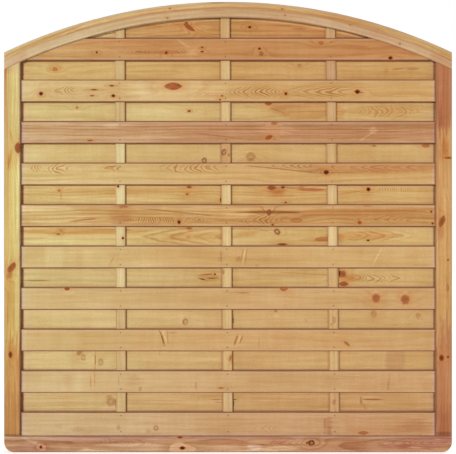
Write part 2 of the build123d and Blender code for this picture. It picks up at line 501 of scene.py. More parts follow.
def mark_group():
    """A patch that tints the wood, ragged along the grain."""
    wiring, given, made = new_group(
        "Pine mark",
        {**ELLIPSE, **numbers("Soft", "Strength"), "Tint": "colour", "Wood": "colour"},
        {"Wood": "colour"})
    _, _, _, _, reach = ellipse(wiring, given)
    ragged = given["Soft"].line(1.7, 0.25) * (given["Ragged"] - 0.5)
    reach = reach + ragged
    cover = wiring.ease(reach, given["Soft"].line(0.15, 1.03), given["Soft"].line(-0.5, 0.9))
    cover = cover * given["Strength"]
    wiring.feed(made["Wood"], wiring.tinted(given["Wood"], given["Tint"], cover))
    return wiring.tree


def pine_group(colours):
    """Clear pine at a point of a sawn piece: its colour, late wood, fibre and clouds."""
    wiring, given, made = new_group(
        "Clear pine",
        {"Grain": "vector", **numbers("Seed", "Pith across", "Pith behind", "Drift", "Wander", "Ring"),
         **numbers("Heart", "Figure", "Streaks", "Bend", "Lift"), "Tone": "colour", "Flames": "vector"},
        {"Colour": "colour", **numbers("Late", "Fibre", "Cloud")})
    along, across, through = wiring.separate(given["Grain"])
    moved = wiring.vector("ADD", given["Grain"], wiring.combine(given["Seed"], given["Seed"], given["Seed"]))

    # Distance from the pith, which wanders along the piece
    place = given["Seed"].line(7.3, along)
    sway = wiring.noise_along(place, 1.7).line(2, -1)
    dive = wiring.noise_along(place + 41, 1.3).line(2, -1)
    pith_across = sway.line(given["Wander"], given["Pith across"])
    pith_across = along.line(given["Drift"], pith_across)
    pith_behind = dive.line(given["Wander"], given["Pith behind"])
    radius = wiring.span(across - pith_across, through - pith_behind)

    # Growth rings: pale early wood that darkens into late wood and stops short
    warp = wiring.noise(moved, WARP_WAVES, detail=3.0)
    warped = radius + warp.line(RING_WARP, -RING_WARP / 2)
    rings = warped / given["Ring"] + given["Bend"]
    year = wiring.math("FRACT", rings)
    late = wiring.ease(year, 0.35, 0.9) * wiring.ease(year, 1.0, 0.94)
    year_tone = wiring.noise_along(wiring.math("FLOOR", rings) + given["Seed"], 0.9)
    late = late * year_tone.line(1.8, -0.2, clamp=True)

    # Sapwood and heartwood, each with its late wood
    streak = wiring.noise(moved, STREAK_WAVES, detail=3.0, roughness=0.6)
    heart_edge = radius + streak.line(HEART_FRAY, -HEART_FRAY / 2)
    heart = wiring.ease(given["Heart"] - heart_edge, -HEART_BLEND, HEART_BLEND)
    cover, stroke, _ = wiring.separate(given["Flames"])
    plain = 1 - cover
    shade = late * (given["Figure"] + given["Lift"])
    shade = shade * 0.75 * plain + stroke
    sap = wiring.mix(shade, colours.sapwood, colours.sap_latewood)
    core = wiring.mix(shade, colours.heartwood, colours.heart_latewood)
    wood = wiring.mix(heart, sap, core)

    # Streaks, broad changes of tone and hue, and the fine surface
    fibre = wiring.noise(moved, FIBRE_WAVES)
    cloud = wiring.noise(moved, CLOUD_WAVES, detail=3.0)
    level = (streak - 0.5).line(given["Streaks"], 1.0)
    level = level * wiring.swing(cloud, 0.28)
    wood = wiring.tinted(wood, wiring.powers(level, 1.5, 2.5))
    level = wiring.swing(wiring.noise(moved, BLOTCH_WAVES), 0.06)
    wood = wiring.tinted(wood, wiring.powers(level, 3.6, 6.0))
    level = wiring.swing(fibre, 0.16) * wiring.swing(wiring.noise(moved, PORE_WAVES), 0.2)
    level = level * wiring.swing(wiring.noise(moved, PLANER_WAVES), 0.1)
    wood = wiring.tinted(wood, wiring.powers(level, 1.25, 1.8))
    wiring.feed(made["Colour"], wiring.tinted(wood, given["Tone"]))
    wiring.feed(made["Late"], late)
    wiring.feed(made["Fibre"], fibre)
    wiring.feed(made["Cloud"], cloud)
    return wiring.tree


def face_group(colours, grain):
    """The face of a piece: knots, stains, painted shade at the arrises, ends and laps, and end grain over
    clear pine.
    """
    wiring, given, made = new_group(
        "Pine face",
        {"Wood": "colour", "Grain": "vector", "Masks": "vector", **numbers("Late", "Fibre", "Cloud"),
         **numbers("Half width", "Half depth", "Half length", "Sight"),
         **numbers("Edge", "Tip", "Lap", "End", "Stain")},
        {"Colour": "colour", **numbers("Roughness", "Height")})
    along, across, through = wiring.separate(given["Grain"])
    face, dark, resin = wiring.separate(given["Masks"])

    # Painted shade along the arrises, a little wider on one side, with bleached wood beside it
    aside = abs(across + given["Edge"] * (0.4 * MM))
    aside = wiring.smaller(aside - given["Half width"], 0)
    edge = wiring.span(aside, abs(through) - given["Half depth"])
    edge = given["Cloud"].line(2 * MM, edge)
    painted_shade = wiring.ease(edge, grain.edge_width + MM, 0.45 * grain.edge_width + MM)
    painted_shade = painted_shade * given["Edge"]
    blush = wiring.ease(edge, 18 * MM, 5 * MM) * given["Edge"]

    # Painted shade at the ends where boards go into the frame, and on the laps where a back board goes
    # behind the front ones
    tip = given["Half length"] - abs(along)
    tip = given["Cloud"].line(3 * MM, tip)
    tip = wiring.ease(tip, grain.tip_width + MM, 0.4 * grain.tip_width + MM)
    inner = given["Half depth"] - abs(through)
    lap_shading = wiring.ease(abs(across) - given["Sight"], -grain.edge_width, 0)
    lap_shading = lap_shading * wiring.ease(inner, 6 * MM, 7 * MM)
    tip = wiring.larger(tip * given["Tip"], lap_shading * given["Lap"])
    painted_shade = wiring.larger(painted_shade, tip)

    wood = wiring.mix(blush * 0.3, given["Wood"], colours.arris)
    wood = wiring.mix(painted_shade, wood, colours.edge)
    wood = wiring.mix(resin * 0.4, wood, colours.resin)
    wood = wiring.mix(face, wood, colours.knot_red)
    wood = wiring.mix(dark, wood, colours.knot_dark)
    wood = wiring.mix(given["End"] * 0.45, wood, colours.heart_latewood)
    wood = wiring.mix(given["Stain"], wood, colours.knot_dark)
    wiring.feed(made["Colour"], wood)
    smooth = given["Late"].line(-0.08, grain.roughness)
    smooth = face.line(-0.15, smooth)
    wiring.feed(made["Roughness"], given["Fibre"].line(0.1, smooth))
    height = given["Late"].line(0.5, given["Fibre"] * 0.35)
    wiring.feed(made["Height"], dark.line(-0.8, height))
    return wiring.tree


def brad_stain_group():
    """Rust that has crept out of the brads into a board's outer face."""
    wiring, given, made = new_group(
        "Brad stain",
        {"Grain": "vector", **numbers("Left", "Middle", "Right", "Row middle", "Row offset")},
        {"Stain": "number"})
    along, across, through = wiring.separate(given["Grain"])
    outward = wiring.ease(abs(through), *OUTWARD_SIDE)
    gaps = [abs(along - given[name]) for name in ("Left", "Middle", "Right")]
    gap = wiring.smaller(wiring.smaller(gaps[0], gaps[1]), gaps[2])
    rise = abs(across - given["Row middle"]) - given["Row offset"]
    ragged = wiring.noise(given["Grain"], RUST_WAVES)
    reach = wiring.span(gap, rise) + ragged.line(RUST_FRAY, -RUST_FRAY / 2)
    rust = wiring.ease(reach, *RUST_REACH) * RUST_STRENGTH
    wiring.feed(made["Stain"], rust * outward)
    return wiring.tree


def spot(feature):
    """Group inputs for the place and size of a knot, flame or mark."""
    return {"Centre": (feature.along * MM, feature.across * MM, 0),
            "Half_length": feature.length * MM / 2, "Half_height": feature.height * MM / 2}


def new_material(name):
    """A new material: itself, its wiring and its shader's inputs."""
    material = bpy.data.materials.new(name)
    material.use_nodes = True
    shader = material.node_tree.nodes["Principled BSDF"]
    return material, Wiring(material.node_tree), shader.inputs


class Bench:
    """The node groups and settings that all pine materials share."""

    def __init__(self, scene):
        self.colours = scene.fence_colours
        self.grain = scene.fence_grain
        groups = bpy.data.node_groups
        self.knot = groups.get("Pine knot") or knot_group()
        self.flame = groups.get("Pine flame") or flame_group()
        self.mark = groups.get("Pine mark") or mark_group()
        self.pine = groups.get("Clear pine") or pine_group(self.colours)
        self.face = groups.get("Pine face") or face_group(self.colours, self.grain)
        self.stain = groups.get("Brad stain") or brad_stain_group()

    def tint(self, name):
        """What a named colour makes of sapwood, as a factor."""
        return [part / base for part, base in zip(getattr(self.colours, name), self.colours.sapwood)]

    def with_knots(self, wiring, grain, knots):
        """How a piece's knots bend and lift its rings, and the masks of what shows of them."""
        fine = wiring.noise(grain, KNOT_WAVES)
        bend, lift, masks = 0.0, 0.0, (0.0, 0.0, 0.0)
        for knot in knots:
            point = min(max(knot.length / knot.height - 1.0, 0.0), 0.9)
            node = wiring.group(
                self.knot, Grain=grain, Ragged=fine, Slant=knot.slant, **spot(knot), Point=point,
                Dead=knot.dead * knot.face, Rim=knot.rim, Face=knot.face, Rings=knot.rings,
                Bend=bend, Lift=lift, Masks=masks)
            bend, lift, masks = (node.outputs[name] for name in ("Bend", "Lift", "Masks"))
        return bend, lift, masks

    def with_flames(self, wiring, grain, broad, flames):
        """Cover and strokes of a piece's chevrons."""
        sway = wiring.noise(grain, FLAME_WAVES, detail=1.0)
        drawn = (0.0, 0.0, 0.0)
        for flame in flames:
            node = wiring.group(
                self.flame, Grain=grain, Ragged=broad, Sway=sway, **spot(flame), Pitch=flame.pitch * MM,
                Spread=flame.spread * MM, Strength=flame.strength, Flames=drawn)
            drawn = node.outputs["Flames"]
        return drawn

    def with_marks(self, wiring, grain, broad, wood, marks):
        """The wood under marks, each given with the strength that it shows."""
        for mark, strength in marks:
            node = wiring.group(
                self.mark, Grain=grain, Ragged=broad, Slant=mark.slant, **spot(mark), Soft=mark.soft,
                Strength=strength, Tint=self.tint(mark.colour), Wood=wood)
            wood = node.outputs["Wood"]
        return wood

    def pine_material(self, name, timber, grain_of, size, edge, tip=0.0, lap_shading=0.0, brads=None,
                      front_marks=(), under_arch=None):
        """A pine material for one piece, whose grain runs as grain_of says."""
        material, wiring, shader = new_material(name)
        place = wiring.node("ShaderNodeTexCoord").outputs
        x, _, z = wiring.separate(place["Object"])
        grain, end = grain_of(wiring, place["Object"], place["Normal"])
        broad = wiring.noise(grain, MARK_WAVES, detail=3.0)
        bend, lift, masks = self.with_knots(wiring, grain, timber.knots)
        clear = wiring.group(
            self.pine, Grain=grain, Seed=timber.seed, Pith_across=timber.pith[0] * MM,
            Pith_behind=timber.pith[1] * MM, Drift=timber.drift, Wander=timber.wander * MM,
            Ring=timber.ring * MM, Heart=timber.heart * MM, Figure=timber.figure, Streaks=timber.streaks,
            Tone=(*timber.tone, 1.0), Bend=bend, Lift=lift,
            Flames=self.with_flames(wiring, grain, broad, timber.flames))
        in_front = wiring.ease(wiring.separate(grain)[2], *FRONT_SIDE)
        marks = [(mark, mark.strength) for mark in timber.marks]
        marks += [(mark, in_front * mark.strength) for mark in front_marks]
        wood = self.with_marks(wiring, grain, broad, clear.outputs["Colour"], marks)
        # Painted light: the top of back board 01 is made paler where the arch's shadow falls on it
        if under_arch:
            centre, radius = under_arch
            reach = wiring.span(x, z - centre)
            painted_arch_light = wiring.ease(reach, radius - PAINTED_ARCH_LIGHT_BAND[0], radius - PAINTED_ARCH_LIGHT_BAND[1])
            wood = wiring.mix(painted_arch_light * in_front, wood, wiring.tinted(wood, PAINTED_ARCH_LIGHT))
        # Painted light: every piece is made paler towards the left of the panel
        painted_left_light = wiring.ease(x, PAINTED_LEFT_LIGHT_FROM, PAINTED_LEFT_LIGHT_TO)
        wood = wiring.mix(painted_left_light, wood, wiring.tinted(wood, PAINTED_LEFT_LIGHT))
        face = wiring.group(
            self.face, Wood=wood, Grain=grain, Masks=masks, Half_length=size[0], Half_width=size[1],
            Half_depth=size[2], Sight=LAP_SIGHT, Edge=edge, Tip=tip, Lap=lap_shading, End=end,
            **{output: clear.outputs[output] for output in ("Late", "Fibre", "Cloud")})
        if brads:
            stain = wiring.group(self.stain, Grain=grain, **brads)
            wiring.feed(face.inputs["Stain"], stain.outputs["Stain"])
        wiring.feed(shader["Base Color"], face.outputs["Colour"])
        wiring.feed(shader["Roughness"], face.outputs["Roughness"])
        wiring.feed(shader["Specular IOR Level"], PLANED_SHEEN)
        bump = wiring.node("ShaderNodeBump")
        wiring.feed(bump.inputs["Strength"], PLANED_BUMP)
        wiring.feed(bump.inputs["Distance"], self.grain.relief)
        wiring.feed(bump.inputs["Height"], face.outputs["Height"])
        wiring.feed(shader["Normal"], bump.outputs["Normal"])
        return material


def dress(node, material):
    """Give a solid its finished material."""
    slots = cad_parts[node].material_slots
    if not slots:
        raise RuntimeError(f"{node} has no material slot")
    slots[0].material = material


def cut_across(wiring, turn):
    """1 where a face is turned along the grain, which shows end grain."""
    return wiring.ease(abs(turn), 0.8, 0.95)


def lying(middle):
    """Grain of a piece that lies along X, with its middle at a height."""
    def grain_of(wiring, point, normal):
        x, y, z = wiring.separate(point)
        return wiring.combine(x, z - middle, y), cut_across(wiring, wiring.separate(normal)[0])
    return grain_of


def standing(foot, head, low, high):
    """Grain of a piece that stands along Z, its middle going from foot to head."""
    lean = (head - foot) / (high - low)

    def grain_of(wiring, point, normal):
        x, y, z = wiring.separate(point)
        middle = z.line(lean, foot - low * lean)
        return wiring.combine(z, x - middle, y), cut_across(wiring, wiring.separate(normal)[2])
    return grain_of


def bent(centre, radius):
    """Grain of a lamination that follows an arch about a centre on the panel's middle line."""
    def grain_of(wiring, point, normal):
        x, y, z = wiring.separate(point)
        rise = z - centre
        along = wiring.math("ARCTAN2", x, rise) * radius
        across = wiring.span(x, rise) - radius
        return wiring.combine(along, across, y), cut_across(wiring, wiring.separate(normal)[0])
    return grain_of


# Tones of the timber, as factors, and what shows in each piece
STRAW = (0.93, 0.92, 0.86)
HONEY = (0.89, 0.82, 0.73)
BLUSH = (0.87, 0.82, 0.86)
AMBER = (0.82, 0.69, 0.58)
COPPER = (0.785, 0.58, 0.49)

FRONT_BOARDS = {
    "front_board_01": Timber(
        1.1, pith=(0, 60), wander=12, figure=0.55, streaks=0.45, tone=COPPER,
        knots=(
            Knot(-528, -13, 11, 10, 0.7), Knot(-249, -14, 13, 13, 0.7, 2.4), Knot(-104, 7, 13, 8, 0.6),
            Knot(-104, -10, 16, 8, 0.7), Knot(127, 2, 13, 11, 0.8),
            Knot(134, -18, 14, 14, 0.0, 1.0, face=0.3), Knot(374, 26, 24, 14, 0.1, 1.6, face=0.6),
            Knot(654, -35, 19, 15, 1.0)),
        flames=(Flame(-342, -10, 170, 30, 22, 6, 0.7), Flame(-190, -8, 80, 28, -18, 7, 0.6)),
        marks=(
            Mark(-270, -12, 260, 16, "knot_red", 0.35, soft=0.5), Mark(-145, -8, 62, 60, "pale", 0.5),
            Mark(-185, 26, 62, 10, "pale", 0.6, slant=-0.7, soft=0.4),
            Mark(-170, 42, 70, 8, "edge", 0.5), Mark(-400, 24, 500, 36, "resin", 0.3),
            Mark(-640, 0, 300, 90, "pale", 0.2), band(640, 420, "heartwood", 0.25, 0.5))),
    "front_board_02": Timber(
        2.3, pith=(14, 75), figure=0.4, tone=HONEY,
        knots=(
            Knot(-753, -12, 18, 17, 0.9, 2.5), Knot(-539, 4, 30, 6, 0.7), Knot(-547, -20, 20, 6, 0.5),
            Knot(-468, 20, 22, 7, 0.6), Knot(-462, -20, 16, 13, 0.9, 2.4),
            Knot(-221, 18, 74, 29, 0.15, 1.6), Knot(-200, 22, 12, 7, 0.7, 0.2),
            Knot(-24, -20, 9, 7, 0.5), Knot(-32, -36, 9, 7, 0.7), Knot(233, -12, 14, 13, 0.9, 3.0),
            Knot(521, -4, 23, 18, 1.0, 2.2), Knot(536, -7, 18, 6, 0.4, 0.4, face=0.8)),
        flames=(
            Flame(-660, 2, 120, 40, -20, 11, 0.7), Flame(112, -4, 240, 50, -19, 8, 1.0),
            Flame(380, -4, 290, 60, -50, 7.5, 0.9), Flame(-100, -14, 110, 20, 24, 7, 0.4)),
        marks=(
            band(-215, 430, "pale", 0.4, 0.5, height=110),
            band(-420, 900, "arris", 0.2, 0.5, height=110), Mark(-540, 3, 110, 5, "resin", 0.6),
            Mark(-470, 20, 80, 5, "resin", 0.5), Mark(-60, -18, 80, 6, "resin", 0.5),
            Mark(700, -10, 300, 40, "resin", 0.15))),
    "front_board_03": Timber(
        3.7, pith=(86, 30), wander=14, ring=11, figure=0.45, streaks=0.85, tone=(0.73, 0.56, 0.58),
        knots=(
            Knot(165, -20, 32, 17, 0.3, 2.0, slant=0.3), Knot(186, 36, 28, 12, 0.1, 1.6, face=0.7),
            Knot(-555, -33, 24, 7, 0.3, 1.2)),
        marks=(
            Mark(195, 14, 170, 62, "pale", 0.95), Mark(760, -26, 180, 18, "pale", 0.45),
            Mark(540, -26, 160, 12, "pale", 0.3), Mark(-730, 34, 260, 20, "pale", 0.35),
            Mark(190, 8, 180, 70, "resin", 0.2), Mark(585, 8, 36, 30, "pale", 0.85, soft=0.6),
            Mark(555, -18, 64, 10, "pale", 0.7, slant=0.64, soft=0.6),
            Mark(-474, 29, 80, 20, "pale", 0.6), Mark(-620, -20, 260, 9, "pale", 0.3, slant=0.03),
            Mark(-280, -17, 330, 9, "pale", 0.3, slant=-0.02),
            Mark(20, -26, 260, 8, "pale", 0.25, slant=0.02),
            Mark(-40, -14, 220, 6, "knot_red", 0.4, slant=-0.12),
            Mark(420, -34, 900, 15, "pale", 0.45, soft=0.6), Mark(-420, 6, 560, 10, "pale", 0.3),
            Mark(430, 26, 800, 22, "edge", 0.2), Mark(-560, -8, 860, 120, "pale", 0.4),
            Mark(0, 12, 1700, 6, "knot_red", 0.3), Mark(-200, 24, 900, 6, "knot_red", 0.3),
            Mark(-480, -12, 500, 5, "knot_red", 0.3), Mark(300, -6, 700, 5, "knot_red", 0.3),
            Mark(-60, -24, 520, 7, "pale", 0.3), Mark(660, 2, 300, 6, "knot_red", 0.35),
            Mark(-650, 24, 300, 5, "knot_red", 0.25))),
    "front_board_04": Timber(
        4.2, pith=(20, 70), figure=0.4, tone=HONEY,
        knots=(Knot(396, 6, 24, 19, 1.0, 2.5),),
        flames=(
            Flame(-700, 22, 140, 48, -24, 11, 0.9), Flame(-778, 24, 60, 34, -20, 10, 0.8),
            Flame(-470, 24, 90, 24, -26, 8, 0.9), Flame(-150, 24, 260, 52, -24, 11, 0.9),
            Flame(255, 33, 190, 24, -24, 7, 1.0), Flame(600, 26, 480, 30, -46, 10, 0.55)),
        marks=(
            Mark(205, 20, 330, 6, "heart_latewood", 0.6, slant=-0.1, soft=0.6),
            Mark(352, 15, 120, 17, "heart_latewood", 0.45),
            Mark(600, 34, 620, 62, "heartwood", 0.75, slant=-0.01, soft=0.12),
            Mark(430, 4, 220, 8, "heart_latewood", 0.5), Mark(600, -24, 460, 30, "pale", 0.2),
            Mark(-420, -10, 900, 110, "pale", 0.22))),
    "front_board_05": Timber(
        5.9, pith=(-66, 30), wander=9, ring=12, figure=0.7, streaks=0.8, tone=AMBER,
        knots=(
            Knot(-197, -27, 14, 17, 1.0, 2.2), Knot(165, 12, 17, 23, 0.2, 2.4, face=0.2),
            Knot(275, -20, 52, 16, 0.0, 1.2, face=0.55), Knot(-421, 36, 34, 12, 0.0, 1.0, face=0.6),
            Knot(180, -38, 12, 8, 0.5), Knot(530, -29, 15, 14, 0.4), Knot(818, 15, 9, 9, 0.8),
            Knot(824, -33, 9, 9, 0.8)),
        flames=(
            Flame(-310, -20, 210, 26, 9, 24, 1.3), Flame(-118, -15, 70, 24, 14, 7, 1.0),
            Flame(130, -20, 200, 40, -20, 9, 0.9), Flame(620, -18, 300, 40, -30, 9, 0.5)),
        marks=(
            Mark(-720, 6, 300, 120, "pale", 0.55, slant=-0.2, soft=0.3),
            Mark(-580, -18, 130, 7, "knot_red", 0.7, slant=0.12, soft=0.5),
            band(-430, 130, "heartwood", 0.4, height=100), Mark(-280, -35, 320, 5, "knot_red", 0.5),
            Mark(-190, 12, 330, 7, "heart_latewood", 0.5, slant=-0.1, soft=0.6),
            Mark(130, 31, 720, 22, "pale", 0.65), Mark(-190, 16, 200, 20, "pale", 0.3),
            Mark(165, 13, 270, 12, "heart_latewood", 0.7, soft=0.4), Mark(36, 8, 150, 44, "pale", 0.6),
            Mark(520, 10, 700, 30, "heartwood", 0.6, soft=0.5), Mark(560, 38, 60, 10, "knot_red", 0.5),
            Mark(-425, -14, 100, 44, "knot_red", 0.25))),
    "front_board_06": Timber(
        6.4, pith=(20, 110), figure=0.14, streaks=0.28, tone=(0.90, 0.87, 0.82),
        marks=(
            band(-700, 80, "pale", 0.18, 0.3, height=200), band(-600, 30, "resin", 0.12, height=160),
            Mark(-560, -10, 60, 90, "pale", 0.15), Mark(-470, -20, 30, 14, "resin", 0.5, slant=2.0),
            Mark(-28, -4, 8, 64, "heart_latewood", 0.5), Mark(-38, -8, 6, 40, "resin", 0.5),
            Mark(64, 3, 14, 24, "pale", 0.8, slant=4.6, soft=0.4),
            Mark(56, 3, 14, 16, "sap_latewood", 0.6, slant=4.6, soft=0.4),
            Mark(73, 3, 10, 28, "sap_latewood", 0.6, slant=6.4, soft=0.4),
            Mark(42, -9, 22, 26, "sap_latewood", 0.45), Mark(600, 0, 44, 16, "pale", 0.6, slant=1.8),
            Mark(770, -34, 100, 14, "knot_red", 0.2), Mark(116, -36, 14, 12, "heart_latewood", 0.3),
            band(-215, 430, "resin", 0.12, 0.5))),
    "front_board_07": Timber(
        7.7, pith=(-30, 100), figure=0.16, streaks=0.34, tone=(0.88, 0.82, 0.80),
        knots=(
            Knot(-648, 39, 22, 14, 0.4, 2.0), Knot(225, 39, 34, 18, 0.0, 1.6, face=0.8),
            Knot(596, 2, 30, 34, 0.25, 2.0, face=0.84, rim=0.4),
            Knot(713, -4, 34, 36, 0.3, 2.0, face=0.84, rim=0.4)),
        marks=(
            Mark(-640, 26, 54, 24, "pale", 0.45), Mark(60, 22, 62, 5, "heart_latewood", 0.6),
            Mark(20, 24, 90, 6, "resin", 0.3), Mark(595, 26, 24, 20, "pale", 0.4),
            Mark(712, 26, 24, 16, "pale", 0.4), Mark(-200, -36, 700, 14, "pale", 0.2))),
    "front_board_08": Timber(
        8.1, pith=(30, 100), figure=0.14, streaks=0.28, tone=(0.87, 0.785, 0.74),
        knots=(Knot(478, -14, 26, 12, 0.2, 1.6, slant=-0.6, face=0.8),),
        marks=(
            Mark(-267, 14, 26, 15, "sap_latewood", 0.9, slant=-2.6, soft=0.5),
            Mark(-262, 0, 16, 34, "sap_latewood", 0.65, slant=-2.6, soft=0.5),
            Mark(-254, 10, 24, 26, "pale", 0.5, slant=-2.6), Mark(-243, 12, 7, 74, "resin", 0.6),
            Mark(-220, 30, 40, 10, "resin", 0.5),
            Mark(32, 0, 20, 26, "sap_latewood", 0.8, slant=2.1, soft=0.5),
            Mark(54, 4, 18, 18, "sap_latewood", 0.65, slant=2.1, soft=0.5),
            Mark(45, 5, 14, 16, "pale", 0.5, slant=2.1, soft=0.5), Mark(126, -10, 5, 50, "resin", 0.4),
            Mark(-620, 4, 90, 70, "pale", 0.15), Mark(760, -38, 120, 8, "resin", 0.4))),
    "front_board_09": Timber(
        9.6, pith=(0, 110), figure=0.14, streaks=0.26, tone=BLUSH,
        knots=(Knot(-28, -26, 26, 6, 0.4, 1.4, face=0.8),),
        marks=(
            Mark(-650, 4, 50, 50, "knot_red", 0.14), Mark(-553, -2, 7, 60, "resin", 0.7),
            Mark(-537, 4, 7, 76, "resin", 0.6), Mark(-600, 0, 40, 90, "pale", 0.15),
            Mark(-380, 2, 90, 56, "knot_red", 0.2), Mark(-354, -30, 16, 24, "heart_latewood", 0.4),
            Mark(-129, -18, 12, 40, "heart_latewood", 0.3), Mark(-440, 0, 6, 40, "heart_latewood", 0.3),
            Mark(645, -14, 12, 52, "heart_latewood", 0.3), Mark(650, 10, 7, 50, "resin", 0.4),
            Mark(420, -4, 90, 50, "knot_red", 0.1), band(660, 520, "heartwood", 0.28))),
    "front_board_10": Timber(
        10.2, pith=(-20, 105), figure=0.18, streaks=0.42, tone=(0.845, 0.775, 0.86),
        knots=(
            Knot(-290, -12, 20, 20, 0.1, 1.4, face=0.12, rim=0.25),
            Knot(545, -31, 42, 14, 0.1, 1.4, face=0.8)),
        flames=(Flame(140, -14, 160, 30, -22, 9, 0.3),),
        marks=(
            Mark(-605, -18, 64, 26, "heart_latewood", 0.22),
            Mark(-680, -6, 40, 30, "heart_latewood", 0.15),
            Mark(-440, -8, 16, 32, "heart_latewood", 0.35),
            Mark(-320, -24, 20, 20, "heart_latewood", 0.25),
            band(404, 34, "heart_latewood", 0.3, height=100), Mark(388, 2, 10, 84, "resin", 0.5),
            Mark(410, -24, 16, 40, "resin", 0.4, slant=-1.0), Mark(760, -6, 150, 60, "knot_red", 0.25),
            band(640, 640, "heartwood", 0.35), Mark(0, -38, 1700, 12, "arris", 0.6, soft=0.5))),
}
